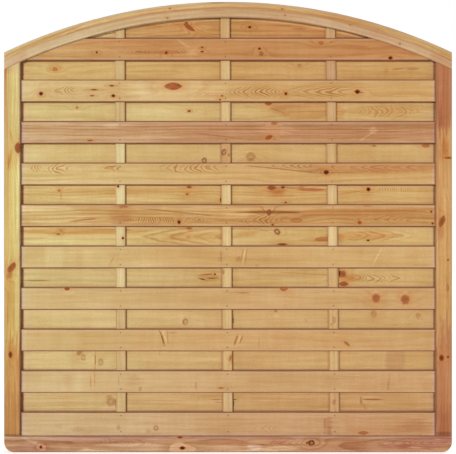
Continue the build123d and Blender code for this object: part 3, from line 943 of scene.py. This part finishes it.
BACK_BOARDS = {
    "back_board_01": Timber(
        21.7, pith=(10, 56), figure=0.55, streaks=0.6, tone=(0.86, 0.69, 0.58),
        knots=(
            Knot(-157, 4, 46, 20, 0.3, 2.0, slant=-0.6), Knot(-168, 22, 16, 8, 0.5),
            Knot(88, 5, 15, 10, 1.0, 2.2)),
        marks=(
            band(-500, 150, "pale", 0.75, 0.3), Mark(-260, 10, 260, 40, "resin", 0.3),
            Mark(-110, 6, 90, 30, "pale", 0.3), Mark(290, -2, 60, 10, "knot_red", 0.4),
            Mark(300, 0, 500, 90, "heartwood", 0.3))),
    "back_board_02": Timber(
        23.0, pith=(-16, 85), figure=0.3, tone=(0.90, 0.82, 0.70),
        knots=(
            Knot(-700, 6, 20, 16, 0.2, 2.0, face=0.5), Knot(289, 20, 18, 14, 0.0, 1.6, face=0.3, rim=0.2)),
        flames=(Flame(-720, 10, 80, 26, -18, 8, 0.35),),
        marks=(
            Mark(-705, 6, 76, 34, "resin", 0.3), Mark(690, 8, 80, 8, "heart_latewood", 0.5, slant=0.1),
            Mark(744, 9, 60, 16, "heart_latewood", 0.4), band(430, 860, "edge", 0.05, height=110),
            Mark(640, 2, 30, 30, "resin", 0.4), Mark(720, -22, 260, 10, "pale", 0.3))),
    "back_board_03": Timber(
        24.4, pith=(0, 72), figure=0.35, tone=(0.91, 0.91, 0.84),
        knots=(
            Knot(-611, 18, 13, 11, 0.1, 2.0, face=0.6, rim=0.4), Knot(-157, 4, 16, 10, 0.5, 2.2),
            Knot(163, 34, 30, 14, 0.1, 2.0)),
        flames=(Flame(650, 2, 260, 60, 22, 12, 0.6), Flame(-140, 4, 120, 28, 22, 8, 0.35)),
        marks=(
            band(-215, 430, "pale", 0.25, 0.5, height=110),
            Mark(312, 24, 310, 112, "resin", 0.45, soft=0.12),
            Mark(250, 20, 180, 24, "heart_latewood", 0.3),
            Mark(206, 4, 90, 5, "heart_latewood", 0.5, slant=-0.35),
            Mark(330, 2, 260, 5, "heart_latewood", 0.3, slant=0.02),
            Mark(620, 4, 400, 70, "resin", 0.25), Mark(456, 0, 50, 70, "resin", 0.5),
            Mark(-611, 4, 40, 16, "pale", 0.3), Mark(90, 0, 160, 60, "pale", 0.25))),
    "back_board_04": Timber(
        25.8, pith=(24, 90), figure=0.16, streaks=0.2, tone=STRAW,
        knots=(
            Knot(-96, -29, 19, 24, 0.0, 1.6, face=0.2),
            Knot(92, -14, 34, 34, 0.0, 1.8, face=0.15, rim=0.22),
            Knot(93, -24, 18, 16, 0.0, 0.4, face=0.5, rim=0.1), Knot(591, 31, 18, 8, 0.3, 1.4, face=0.6),
            Knot(800, 32, 34, 16, 0.1, 1.8, face=0.75))),
    "back_board_05": Timber(
        27.1, pith=(-50, 50), wander=10, ring=10, figure=0.45, streaks=0.5, tone=(0.93, 0.89, 0.78),
        knots=(
            Knot(-683, 18, 13, 12, 0.2, 2.0, face=0.6), Knot(-157, 31, 24, 10, 0.2, 1.8),
            Knot(-165, 2, 11, 7, 0.6), Knot(-30, -20, 7, 16, 0.6), Knot(177, 28, 38, 17, 0.3, 2.2),
            Knot(222, 30, 18, 11, 0.6), Knot(297, 29, 28, 10, 0.0, 1.6, face=0.4),
            Knot(233, -31, 13, 7, 0.5), Knot(568, 22, 18, 17, 1.0, 2.0)),
        flames=(Flame(665, 22, 180, 18, 9, 60, 0.8),),
        marks=(
            Mark(-420, 14, 800, 24, "resin", 0.35, soft=0.6), Mark(-676, -6, 7, 30, "edge", 0.35),
            Mark(335, 21, 130, 14, "knot_red", 0.75, soft=0.5), Mark(205, -2, 110, 30, "resin", 0.6),
            Mark(262, 27, 80, 11, "knot_red", 0.55), Mark(195, 20, 110, 30, "knot_red", 0.5),
            Mark(500, 10, 120, 7, "resin", 0.6, slant=0.12), Mark(-230, -26, 330, 16, "pale", 0.3))),
    "back_board_06": Timber(
        28.5, pith=(-10, 80), wander=8, figure=0.35, streaks=0.5, tone=(0.945, 0.965, 0.88),
        knots=(
            Knot(-687, 8, 18, 9, 0.4, 2.0, face=0.7),
            Knot(-676, 24, 12, 12, 0.1, 1.0, face=0.4, rim=0.4),
            Knot(-157, 31, 26, 10, 0.1, 1.8, face=0.8),
            Knot(-161, -4, 16, 12, 0.0, 1.0, face=0.3, rim=0.12),
            Knot(199, 18, 25, 22, 0.0, 2.2, slant=-0.3, face=0.2), Knot(220, -33, 44, 9, 0.6, 1.2),
            Knot(567, -17, 13, 8, 1.0)),
        flames=(Flame(-190, -2, 400, 76, -100, 16, 0.6), Flame(620, 2, 300, 50, 60, 12, 0.5)),
        marks=(
            Mark(-600, 20, 580, 28, "resin", 0.65, soft=0.4), Mark(-610, -24, 560, 22, "pale", 0.3),
            Mark(150, 22, 100, 4, "edge", 0.5), Mark(386, -13, 84, 20, "knot_red", 0.65, soft=0.3),
            Mark(455, -8, 44, 44, "resin", 0.45), Mark(70, 10, 120, 30, "resin", 0.4, slant=0.2),
            Mark(540, 2, 300, 38, "resin", 0.45, soft=0.2),
            Mark(-130, -2, 340, 50, "resin", 0.25, soft=0.4))),
    "back_board_07": Timber(
        29.9, pith=(10, 80), figure=0.35, tone=(0.91, 0.92, 0.85),
        knots=(
            Knot(464, 14, 28, 26, 0.3, 2.2, face=0.95), Knot(468, -26, 40, 20, 0.3, 2.0, face=0.95),
            Knot(-53, 13, 9, 8, 0.9), Knot(452, 16, 7, 36, 1.0, 0.2)),
        flames=(Flame(610, -3, 260, 38, 24, 9, 0.8),),
        marks=(
            Mark(-767, -13, 120, 5, "heart_latewood", 0.6),
            Mark(-85, 12, 70, 5, "knot_dark", 0.6, slant=0.12),
            Mark(-102, -8, 44, 8, "knot_dark", 0.9, slant=-0.25), Mark(-64, -3, 46, 5, "knot_dark", 0.8),
            Mark(-80, 1, 100, 36, "resin", 0.5, soft=0.4), Mark(480, -4, 60, 40, "resin", 0.4),
            Mark(300, 16, 240, 6, "resin", 0.5, slant=-0.06),
            Mark(200, -10, 60, 5, "heart_latewood", 0.3), Mark(510, 0, 90, 30, "resin", 0.5, soft=0.4),
            Mark(-400, 10, 600, 10, "resin", 0.2), band(-460, 800, "edge", 0.08, 0.5, height=110))),
    "back_board_08": Timber(
        31.2, pith=(30, 110), figure=0.12, streaks=0.24, tone=(0.92, 0.90, 0.88),
        knots=(
            Knot(-173, -12, 22, 26, 0.0, 1.4, face=0.15, rim=0.2),
            Knot(193, 32, 15, 10, 0.1, 1.4, face=0.5),
            Knot(590, 20, 22, 28, 0.1, 1.4, face=0.3, rim=0.15),
            Knot(769, 13, 16, 24, 0.1, 1.4, face=0.3, rim=0.15)),
        marks=(
            Mark(-190, 0, 34, 44, "pale", 0.3), Mark(-180, -12, 8, 24, "sap_latewood", 0.6),
            Mark(-170, -2, 18, 9, "sap_latewood", 0.6), Mark(22, -8, 7, 56, "knot_dark", 0.6),
            band(-500, 760, "pale", 0.18, 0.5, height=110), Mark(193, 12, 24, 20, "pale", 0.3),
            Mark(620, 10, 30, 40, "resin", 0.15), Mark(315, -8, 12, 16, "heart_latewood", 0.2))),
    "back_board_09": Timber(
        32.6, pith=(-20, 105), figure=0.16, streaks=0.32, tone=(0.89, 0.85, 0.80),
        knots=(
            Knot(-602, 29, 24, 18, 0.3, 1.4, slant=0.3, face=0.5, rim=0.4),
            Knot(-585, 12, 18, 24, 0.0, 1.2, face=0.12, rim=0.18),
            Knot(-515, -8, 20, 30, 0.0, 1.2, face=0.12, rim=0.18)),
        marks=(
            Mark(-537, 0, 7, 76, "knot_red", 0.75), Mark(-560, 0, 60, 80, "pale", 0.25),
            Mark(-620, 0, 50, 80, "knot_red", 0.12), band(676, 88, "russet", 0.34, 0.3, height=140),
            Mark(-277, 30, 6, 30, "heart_latewood", 0.3), Mark(60, 0, 200, 60, "resin", 0.1),
            band(-420, 860, "pale", 0.18, 0.5, height=110))),
    "back_board_10": Timber(
        33.9, pith=(16, 95), figure=0.18, streaks=0.5, tone=(0.86, 0.79, 0.76),
        knots=(Knot(-474, 0, 30, 36, 0.1, 1.4, face=0.12, rim=0.22),),
        marks=(
            Mark(-46, 8, 64, 4, "knot_red", 0.7), Mark(-36, -4, 50, 3, "knot_red", 0.5),
            Mark(26, 8, 34, 6, "knot_dark", 0.8), Mark(22, -10, 7, 54, "knot_dark", 0.7),
            Mark(588, 9, 130, 7, "heart_latewood", 0.8), Mark(572, 18, 96, 12, "pale", 0.5),
            Mark(538, 4, 10, 44, "heart_latewood", 0.5),
            Mark(552, -20, 20, 18, "resin", 0.5, slant=-1.5),
            Mark(-455, -8, 7, 50, "heart_latewood", 0.6),
            Mark(-486, 20, 34, 7, "heart_latewood", 0.5, slant=0.3),
            Mark(-700, 14, 260, 6, "resin", 0.3), band(560, 760, "heartwood", 0.2))),
}
BATTENS = {
    "left_batten": Timber(
        40.1, pith=(60, 60), figure=0.25, tone=(0.88, 0.86, 0.88),
        knots=(
            Knot(1069, -9, 11, 10, 0.9), Knot(860, 10, 11, 10, 1.0),
            Knot(915, 3, 12, 9, 0.3, 1.0, face=0.3, rim=0.3)),
        marks=(
            band(960, 700, "pale", 0.55, 0.1), band(1120, 330, "pale", 0.2, 0.1),
            Mark(420, -6, 260, 12, "resin", 0.2))),
    "middle_batten": Timber(
        41.7, pith=(50, 60), figure=0.3, tone=(0.93, 0.93, 0.91),
        knots=(
            Knot(1207, -8, 26, 20, 0.0, 2.0, slant=0.2, face=0.2, rim=0.4),
            Knot(1196, 12, 12, 9, 0.1, 1.0, face=0.3, rim=0.3),
            Knot(724, -14, 22, 8, 0.1, 1.2, face=0.5),
            Knot(376, 12, 28, 12, 0.2, 1.4, slant=0.3, face=0.6, rim=0.3)),
        marks=(
            band(1720, 150, "russet", 0.12, 0.1), band(1460, 330, "pale", 0.2, 0.1),
            Mark(1206, 0, 130, 80, "heartwood", 0.6, soft=0.3), band(870, 460, "pale", 0.5, 0.1),
            band(540, 160, "pale", 0.2, 0.1), Mark(870, 4, 420, 8, "pale", 0.3),
            Mark(372, 16, 60, 14, "knot_red", 0.3), band(200, 220, "arris", 0.35, 0.1),
            band(280, 330, "pale", 0.15, 0.1))),
    "right_batten": Timber(
        43.3, pith=(60, 60), figure=0.3, tone=(0.95, 0.96, 0.99),
        knots=(
            Knot(530, 2, 30, 14, 0.0, 1.6, face=0.2, rim=0.18),
            Knot(512, -8, 16, 10, 0.0, 1.0, face=0.2, rim=0.15),
            Knot(198, -2, 24, 12, 0.0, 1.4, slant=0.2, face=0.2, rim=0.25),
            Knot(650, -8, 18, 10, 0.2, 1.2, face=0.5)),
        marks=(
            band(1560, 520, "russet", 0.25, 0.2), band(1541, 150, "russet", 0.25, 0.1),
            band(1030, 200, "pale", 0.15, 0.1), band(868, 130, "pale", 0.5, 0.1),
            band(370, 160, "pale", 0.12, 0.1), band(190, 220, "russet", 0.2, 0.2))),
}
FRAME_PIECES = {
    "left_stile": Timber(
        50.4, pith=(-80, 34), wander=6, ring=11, figure=0.35, streaks=0.5, tone=(0.90, 0.87, 0.65),
        knots=(
            Knot(1223, 24, 46, 26, 0.35, 2.2), Knot(742, -1, 44, 28, 0.25, 2.4, slant=0.5, rim=0.4),
            Knot(712, -10, 30, 22, 0.0, 1.0, slant=0.3, face=0.6, rim=0.2),
            Knot(392, -6, 30, 16, 0.7, 2.2)),
        marks=(
            Mark(1050, -26, 1500, 28, "resin", 0.35, soft=0.5),
            Mark(1460, -30, 330, 20, "resin", 0.5, soft=0.5),
            Mark(1200, 12, 1100, 34, "pale", 0.45, soft=0.6),
            Mark(1055, 26, 330, 22, "pale", 0.4, soft=0.6),
            band(1460, 600, "arris", 0.3, 0.4, height=100),
            Mark(1180, -8, 120, 12, "resin", 0.6, slant=0.25),
            Mark(1268, -2, 100, 12, "resin", 0.5, slant=-0.3), band(170, 660, "heartwood", 1.0, 0.4),
            Mark(80, 2, 460, 120, "russet", 0.4), Mark(560, -6, 400, 40, "resin", 0.3),
            Mark(330, 26, 260, 22, "heartwood", 0.45), Mark(470, -2, 150, 32, "pale", 0.45),
            Mark(1545, -28, 110, 24, "resin", 0.7), Mark(400, -28, 130, 18, "pale", 0.3),
            Mark(1170, -6, 80, 30, "resin", 0.3), Mark(640, -14, 260, 22, "resin", 0.3),
            Mark(300, 29, 900, 8, "knot_red", 0.2), Mark(1010, 30, 1200, 10, "arris", 0.7, soft=0.5),
            Mark(1010, 30, 1200, 8, "pale", 0.4, soft=0.5), band(70, 10, "edge", 0.35, 0.3, height=300),
            band(1550, 70, "russet", 0.35, height=100))),
    "right_stile": Timber(
        52.8, pith=(80, 30), wander=6, ring=11, figure=0.3, streaks=0.6, tone=(0.87, 0.74, 0.63),
        knots=(
            Knot(928, -8, 50, 24, 0.5, 2.4, slant=0.3, face=0.85), Knot(379, -10, 28, 20, 0.75, 2.2),
            Knot(383, 16, 11, 10, 0.7), Knot(773, 16, 9, 7, 0.8),
            Knot(660, 14, 40, 10, 0.2, 1.4, face=0.5), Knot(1183, 16, 9, 32, 0.3, 1.4)),
        marks=(
            band(1500, 470, "russet", 0.85, 0.2, height=100), Mark(548, 11, 74, 3, "knot_dark", 0.7),
            Mark(230, 6, 640, 110, "russet", 0.7, soft=0.4), Mark(1290, -4, 60, 22, "pale", 0.5),
            Mark(885, -12, 80, 32, "russet", 0.5), Mark(1230, 2, 120, 36, "resin", 0.6),
            Mark(1222, 4, 80, 24, "heartwood", 0.4), Mark(820, 2, 700, 14, "pale", 0.35),
            Mark(670, 0, 420, 90, "pale", 0.18), band(100, 190, "russet", 0.45),
            # The russet mark at -26 and the edge mark at -30 across are painted shade along the stile's
            # inner arris
            Mark(740, -28, 430, 9, "pale", 0.5, soft=0.5), Mark(1290, -26, 640, 18, "russet", 0.45),
            Mark(270, -30, 400, 9, "edge", 0.25, soft=0.4),
            Mark(200, -22, 340, 9, "arris", 0.5, soft=0.5), Mark(1310, -13, 260, 12, "russet", 0.5),
            Mark(1010, -16, 200, 12, "resin", 0.4), Mark(1010, -28, 200, 8, "pale", 0.35),
            band(75, 16, "edge", 0.4, 0.3, height=300))),
    "bottom_rail": Timber(
        54.9, pith=(-10, 64), ring=9, figure=0.9, streaks=1.0, tone=(0.78, 0.65, 0.76),
        knots=(
            Knot(-752, -12, 13, 13, 1.0, 0.8), Knot(-193, 27, 24, 10, 0.6),
            Knot(-183, -16, 26, 15, 1.0, 0.8), Knot(335, 5, 27, 21, 0.0, 2.4, face=0.2, rim=0.75),
            Knot(317, 4, 8, 9, 0.8, 0.4)),
        flames=(
            Flame(240, 2, 220, 36, -22, 9, 0.5), Flame(700, 4, 320, 40, -26, 8, 0.5),
            Flame(-420, 6, 260, 36, 24, 9, 0.45)),
        marks=(
            Mark(-790, 10, 90, 16, "pale", 0.75, slant=-0.45), Mark(-765, 2, 40, 18, "pale", 0.5),
            Mark(-165, 8, 130, 30, "pale", 0.55), Mark(108, -12, 66, 36, "pale", 0.95, soft=0.5),
            Mark(108, -12, 60, 32, "arris", 0.5, soft=0.5),
            Mark(-200, -16, 1000, 38, "pale", 0.75, soft=0.6), Mark(-780, -20, 220, 40, "russet", 0.6),
            Mark(-600, 14, 760, 44, "russet", 0.4), Mark(70, -16, 480, 30, "pale", 0.5),
            Mark(0, 28, 3000, 22, "edge", 0.12), Mark(872, 20, 90, 36, "russet", 0.6),
            Mark(-852, 31, 100, 9, "edge", 0.4), Mark(0, 26, 3000, 26, "arris", 0.25),
            Mark(590, -14, 560, 30, "russet", 0.35), Mark(800, 6, 280, 70, "russet", 0.6),
            Mark(690, -8, 170, 26, "russet", 0.5), Mark(205, 8, 110, 16, "russet", 0.7),
            Mark(-300, 26, 760, 18, "arris", 0.6), Mark(-560, 4, 330, 12, "knot_red", 0.3),
            Mark(560, 20, 600, 16, "edge", 0.2))),
    "arch_upper_lamination": Timber(
        56.2, pith=(50, 70), figure=0.5, streaks=0.6, tone=(0.89, 0.86, 0.82),
        knots=(Knot(-234, 0, 11, 8, 0.2, 1.6, face=0.6), Knot(219, -4, 11, 8, 0.2, 1.6, face=0.6)),
        marks=(
            Mark(0, -9, 2400, 10, "resin", 0.55, soft=0.8),
            Mark(-700, 0, 500, 10, "resin", 0.5, slant=0.01),
            Mark(-440, -12, 900, 8, "heartwood", 0.6, soft=0.6), Mark(-45, 11, 76, 7, "knot_red", 0.5),
            Mark(500, 0, 500, 16, "heartwood", 0.35), Mark(0, 9, 3000, 10, "arris", 0.55, soft=0.5))),
    "arch_lower_lamination": Timber(
        58.5, pith=(-60, 80), figure=0.3, streaks=0.5, tone=(0.88, 0.87, 1.06),
        knots=(
            Knot(-245, -6, 12, 9, 0.2, 1.6, face=0.6), Knot(229, 4, 10, 8, 0.2, 1.6, face=0.5),
            Knot(493, 12, 10, 8, 0.2, 1.6, face=0.5), Knot(706, -4, 12, 9, 0.2, 1.6, face=0.6)),
        marks=(
            Mark(-60, 10, 120, 10, "knot_red", 0.25), Mark(620, 0, 420, 30, "heartwood", 0.25),
            Mark(-890, 0, 130, 60, "heartwood", 0.5, soft=0.5),
            Mark(890, 0, 130, 60, "heartwood", 0.55, soft=0.5),
            Mark(420, 0, 900, 80, "edge", 0.06, soft=0.5),
            Mark(-760, 0, 300, 10, "knot_red", 0.2, slant=0.02),
            Mark(0, 14, 3000, 9, "resin", 0.22, soft=0.5))),
}

# The edge bands paint the stiles' shadow, the lap bands a lighter, redder tint in that shadow
# Painted shade and light where boards go behind the frame, left off the outer faces of the back boards
FRONT_TIPS = (
    band(-834, 12, "edge", 0.62, 0.3, TALL), band(834, 9, "edge", 0.2, 0.3, TALL),
    band(-823, 22, "arris", 0.7, 0.8, TALL), band(828, 16, "arris", 0.8, 0.6, TALL),
)
BACK_TIPS = (
    band(-834, 14, "lap_shading", 0.7, 0.3, TALL), band(-832, 11, "edge", 0.5, 0.5, TALL),
    band(-819, 18, "arris", 0.5, 0.8, TALL), band(-817, 14, "lap_shading", 0.2, 0.8, TALL),
    band(834, 9, "edge", 0.55, 0.4, TALL), band(840, 12, "edge", 0.35, 0.3, TALL),
    band(823, 14, "arris", 0.45, 0.6, TALL),
)

# Painted shadows of the battens on the back boards, as dark lines: the batten, mm from its middle, and
# strength
BESIDE_BATTENS = (
    ("Left", 22, 0.5), ("Middle", 22, 0.5), ("Middle", -22, 0.35), ("Right", 23, 0.25), ("Right", -22, 0.2),
)
BESIDE_WIDTH = 7  # mm
BESIDE_HEIGHT = 260  # mm

# How strong the painted shade is along the edges, ends and laps of each kind of piece
BOARD_EDGE = 0.9
FRONT_TIP = 0.75
BACK_TIP = 0.35
BACK_LAP = 0.6
BATTEN_EDGE = 0.3
STILE_EDGE = 0.35
RAIL_EDGE = 0.6
ARCH_EDGE = 0.15

# Noises in the fixings, in waves a metre
BRAD_WAVES = (900, 900, 900)
BEECH_WAVES = (900, 900, 120)

# Stage
FLOOR_SIZE = 30.0  # metres
FLOOR_ROUGHNESS = 0.9
SENSOR_WIDTH = 36.0  # mm
KEY_WAY = (-1.54, -4.23, 0.63)  # from the panel to the lamp
BACK_WAY = (2.2, 3.6, 1.5)


def arch_circle():
    """Height of the arch's centre, and its outer radius."""
    crown = CAD_BOX[1][2]
    rise = crown - ARCH_FOOT
    radius = (CAD_BOX[1][0] ** 2 + rise ** 2) / (2 * rise)
    return crown - radius, radius


def brad_rows(low, high):
    """Where the brads of a board are, from the middle of the board."""
    middle = (low.z + high.z) / 2
    rows = (max(low.z, INFILL_SIGHT) + BRAD_INSET, high.z - BRAD_INSET)
    brads = {"Row_middle": (rows[0] + rows[1]) / 2 - middle, "Row_offset": (rows[1] - rows[0]) / 2}
    for name, batten in (("Left", "left_batten"), ("Middle", "middle_batten"), ("Right", "right_batten")):
        batten_low, batten_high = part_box(batten)
        share = (middle - batten_low.z) / (batten_high.z - batten_low.z)
        brads[name] = (batten_high.x - BATTEN_HALF) * (1 - share) + (batten_low.x + BATTEN_HALF) * share
    return brads


def finish_boards(scene, timbers):
    """Dress the boards of one layer."""
    bench = Bench(scene)
    for node, timber in timbers.items():
        low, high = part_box(node)
        middle = (low.z + high.z) / 2
        size = (BOARD_SIGHT, (high.z - low.z) / 2, BOARD_FACE)
        brads = brad_rows(low, high)
        # Painted shade at the ends, on the laps and beside the battens and stiles, and painted light under
        # the arch
        if node.startswith("front"):
            painted_light_and_shade = {"tip": FRONT_TIP, "front_marks": FRONT_TIPS}
        else:
            beside = [
                band(brads[name] / MM + offset, BESIDE_WIDTH, "heart_latewood", strength, 0.3, BESIDE_HEIGHT)
                for name, offset, strength in BESIDE_BATTENS]
            painted_light_and_shade = {"tip": BACK_TIP, "lap_shading": BACK_LAP, "front_marks": (*beside, *BACK_TIPS)}
            # Back board 01 gets painted light in the arch's shadow
            if node == "back_board_01":
                centre, outer = arch_circle()
                painted_light_and_shade["under_arch"] = (centre, outer - ARCH_DEPTH)
        dress(node, bench.pine_material(
            f"{node}_pine", timber, lying(middle), size, BOARD_EDGE, brads=brads, **painted_light_and_shade))


class FENCE_PANEL_OT_front_boards(Operator):
    """Dress the front boards in planed pine"""

    bl_idname = "fence_panel.front_boards"
    bl_label = "Front boards"

    def execute(self, context):
        finish_boards(context.scene, FRONT_BOARDS)
        return {"FINISHED"}


class FENCE_PANEL_OT_back_boards(Operator):
    """Dress the back boards in planed pine"""

    bl_idname = "fence_panel.back_boards"
    bl_label = "Back boards"

    def execute(self, context):
        finish_boards(context.scene, BACK_BOARDS)
        return {"FINISHED"}


class FENCE_PANEL_OT_battens(Operator):
    """Dress the upright battens"""

    bl_idname = "fence_panel.battens"
    bl_label = "Battens"

    def execute(self, context):
        bench = Bench(context.scene)
        for node, timber in BATTENS.items():
            low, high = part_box(node)
            grain_of = standing(high.x - BATTEN_HALF, low.x + BATTEN_HALF, low.z, high.z)
            size = (FAR, BATTEN_HALF, high.y)
            dress(node, bench.pine_material(f"{node}_pine", timber, grain_of, size, BATTEN_EDGE))
        return {"FINISHED"}


class FENCE_PANEL_OT_stiles(Operator):
    """Dress the two stiles"""

    bl_idname = "fence_panel.stiles"
    bl_label = "Stiles"

    def execute(self, context):
        bench = Bench(context.scene)
        for node in ("left_stile", "right_stile"):
            low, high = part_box(node)
            middle = (low.x + high.x) / 2
            grain_of = standing(middle, middle, low.z, high.z)
            size = (FAR, (high.x - low.x) / 2, high.y)
            dress(node, bench.pine_material(f"{node}_pine", FRAME_PIECES[node], grain_of, size, STILE_EDGE))
        return {"FINISHED"}


class FENCE_PANEL_OT_bottom_rail(Operator):
    """Dress the bottom rail"""

    bl_idname = "fence_panel.bottom_rail"
    bl_label = "Bottom rail"

    def execute(self, context):
        node = "bottom_rail"
        low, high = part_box(node)
        half = (high.z - low.z) / 2
        size = (FAR, half, high.y)
        bench = Bench(context.scene)
        dress(node, bench.pine_material(f"{node}_pine", FRAME_PIECES[node], lying(half), size, RAIL_EDGE))
        return {"FINISHED"}


class FENCE_PANEL_OT_arch(Operator):
    """Dress the two laminations of the arch"""

    bl_idname = "fence_panel.arch"
    bl_label = "Arch"

    def execute(self, context):
        bench = Bench(context.scene)
        centre, outer = arch_circle()
        for node, start, end in (("arch_upper_lamination", 0, UPPER_DEPTH),
                                 ("arch_lower_lamination", UPPER_DEPTH, ARCH_DEPTH)):
            grain_of = bent(centre, outer - (start + end) / 2)
            size = (FAR, (end - start) / 2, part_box(node)[1].y)
            dress(node, bench.pine_material(f"{node}_pine", FRAME_PIECES[node], grain_of, size, ARCH_EDGE))
        return {"FINISHED"}


class FENCE_PANEL_OT_brads(Operator):
    """Dress the brads in dulled zinc"""

    bl_idname = "fence_panel.brads"
    bl_label = "Brads"

    def execute(self, context):
        colours = context.scene.fence_colours
        material, wiring, shader = new_material("brad_zinc")
        spots = wiring.noise(wiring.node("ShaderNodeTexCoord").outputs["Object"], BRAD_WAVES, detail=3.0)
        zinc = wiring.mix(wiring.ease(spots, 0.4, 0.7), colours.brad, colours.knot_dark)
        wiring.feed(shader["Base Color"], zinc)
        wiring.feed(shader["Roughness"], spots.line(0.3, 0.35))
        wiring.feed(shader["Metallic"], 0.15)
        for node in ("front_brads", "back_brads"):
            dress(node, material)
        return {"FINISHED"}


class FENCE_PANEL_OT_tenons(Operator):
    """Dress the loose tenons in beech"""

    bl_idname = "fence_panel.tenons"
    bl_label = "Loose tenons"

    def execute(self, context):
        colours = context.scene.fence_colours
        material, wiring, shader = new_material("tenon_beech")
        flecks = wiring.noise(wiring.node("ShaderNodeTexCoord").outputs["Object"], BEECH_WAVES)
        beech = wiring.mix(wiring.ease(flecks, 0.45, 0.75), colours.beech, colours.resin)
        wiring.feed(shader["Base Color"], beech)
        wiring.feed(shader["Roughness"], flecks.line(0.2, 0.5))
        dress("loose_tenons", material)
        return {"FINISHED"}


def add_floor(context, stage):
    """A wide floor that the camera sees a little brighter than it is."""
    bpy.ops.mesh.primitive_plane_add(size=FLOOR_SIZE, location=(0, 0, 0))
    floor = context.object
    floor.name = "studio_floor"
    material, wiring, shader = new_material("studio_floor")
    wiring.feed(shader["Base Color"], stage.floor)
    wiring.feed(shader["Roughness"], FLOOR_ROUGHNESS)
    wiring.feed(shader["Specular IOR Level"], 0.0)
    wiring.feed(shader["Emission Color"], WHITE)
    path = wiring.node("ShaderNodeLightPath").outputs
    glow = wiring.math("MULTIPLY", path["Is Camera Ray"], stage.floor_glow)
    wiring.feed(shader["Emission Strength"], glow)
    floor.data.materials.append(material)


def light_world(scene, stage):
    """Light from all round, and plain white where the world itself is seen."""
    world = bpy.data.worlds.new("studio")
    scene.world = world
    world.use_nodes = True
    wiring = Wiring(world.node_tree)
    light = world.node_tree.nodes["Background"]
    white = wiring.node("ShaderNodeBackground")
    for node, strength in ((light, stage.fill), (white, 1.0)):
        wiring.feed(node.inputs["Color"], WHITE)
        wiring.feed(node.inputs["Strength"], strength)
    path = wiring.node("ShaderNodeLightPath").outputs
    seen = wiring.larger(path["Is Camera Ray"], path["Is Glossy Ray"])
    seen = wiring.larger(seen, path["Is Transmission Ray"])
    either = wiring.node("ShaderNodeMixShader")
    for socket, value in zip(either.inputs, (seen, light.outputs[0], white.outputs[0])):
        wiring.feed(socket, value)
    wiring.feed(world.node_tree.nodes["World Output"].inputs["Surface"], either.outputs[0])


def add_lamp(context, name, aim, way, level, angle):
    """A far lamp that shines at a point from one side."""
    turn = (-Vector(way)).to_track_quat("-Z", "Y").to_euler()
    bpy.ops.object.light_add(type="SUN", location=aim + Vector(way), rotation=turn)
    lamp = context.object
    lamp.name = name
    lamp.data.energy = level
    lamp.data.angle = angle


class FENCE_PANEL_OT_stage(Operator):
    """Set the floor, the lights and the camera"""

    bl_idname = "fence_panel.stage"
    bl_label = "Stage"

    def execute(self, context):
        scene = context.scene
        stage = scene.fence_stage
        low, high = CAD_BOX
        middle = (low[2] + high[2]) / 2
        aim = Vector((0, 0, middle))
        bpy.ops.object.select_all(action="DESELECT")
        add_floor(context, stage)
        light_world(scene, stage)
        add_lamp(context, "key_light", aim, KEY_WAY, stage.key_level, stage.key_angle)
        add_lamp(context, "back_light", aim, BACK_WAY, stage.back_level, stage.back_angle)
        place = (0, low[1] - stage.distance, middle)
        bpy.ops.object.camera_add(location=place, rotation=(radians(90), 0, 0))
        camera = context.object
        camera.name = "photo_camera"
        camera.data.sensor_width = SENSOR_WIDTH
        camera.data.lens = SENSOR_WIDTH * stage.distance / stage.view_width
        scene.camera = camera
        scene.view_settings.view_transform = "Standard"
        return {"FINISHED"}


class FENCE_PANEL_PT_finish(Panel):
    """Lists the steps that finish the fence panel"""

    bl_idname = "FENCE_PANEL_PT_finish"
    bl_label = "Arched fence panel"
    bl_space_type = "VIEW_3D"
    bl_region_type = "UI"
    bl_category = "Fence"

    def draw(self, context):
        for operator in OPERATORS:
            self.layout.operator(operator.bl_idname)


GROUPS = {"fence_colours": FenceColours, "fence_grain": FenceGrain, "fence_stage": FenceStage}
OPERATORS = (
    FENCE_PANEL_OT_front_boards, FENCE_PANEL_OT_back_boards, FENCE_PANEL_OT_battens, FENCE_PANEL_OT_stiles,
    FENCE_PANEL_OT_bottom_rail, FENCE_PANEL_OT_arch, FENCE_PANEL_OT_brads, FENCE_PANEL_OT_tenons,
    FENCE_PANEL_OT_stage,
)


def register():
    """Add the classes, and the settings to the scene."""
    for name, group in GROUPS.items():
        bpy.utils.register_class(group)
        setattr(bpy.types.Scene, name, PointerProperty(type=group))
    for cls in (*OPERATORS, FENCE_PANEL_PT_finish):
        bpy.utils.register_class(cls)


def unregister():
    """Take the settings and the classes away again."""
    for cls in (FENCE_PANEL_PT_finish, *reversed(OPERATORS)):
        bpy.utils.unregister_class(cls)
    for name, group in GROUPS.items():
        delattr(bpy.types.Scene, name)
        bpy.utils.unregister_class(group)


def main():
    """Finish the panel piece by piece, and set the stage."""
    register()
    bpy.ops.fence_panel.front_boards()
    bpy.ops.fence_panel.back_boards()
    bpy.ops.fence_panel.battens()
    bpy.ops.fence_panel.stiles()
    bpy.ops.fence_panel.bottom_rail()
    bpy.ops.fence_panel.arch()
    bpy.ops.fence_panel.brads()
    bpy.ops.fence_panel.tenons()
    bpy.ops.fence_panel.stage()


if __name__ == "__main__":
    main()
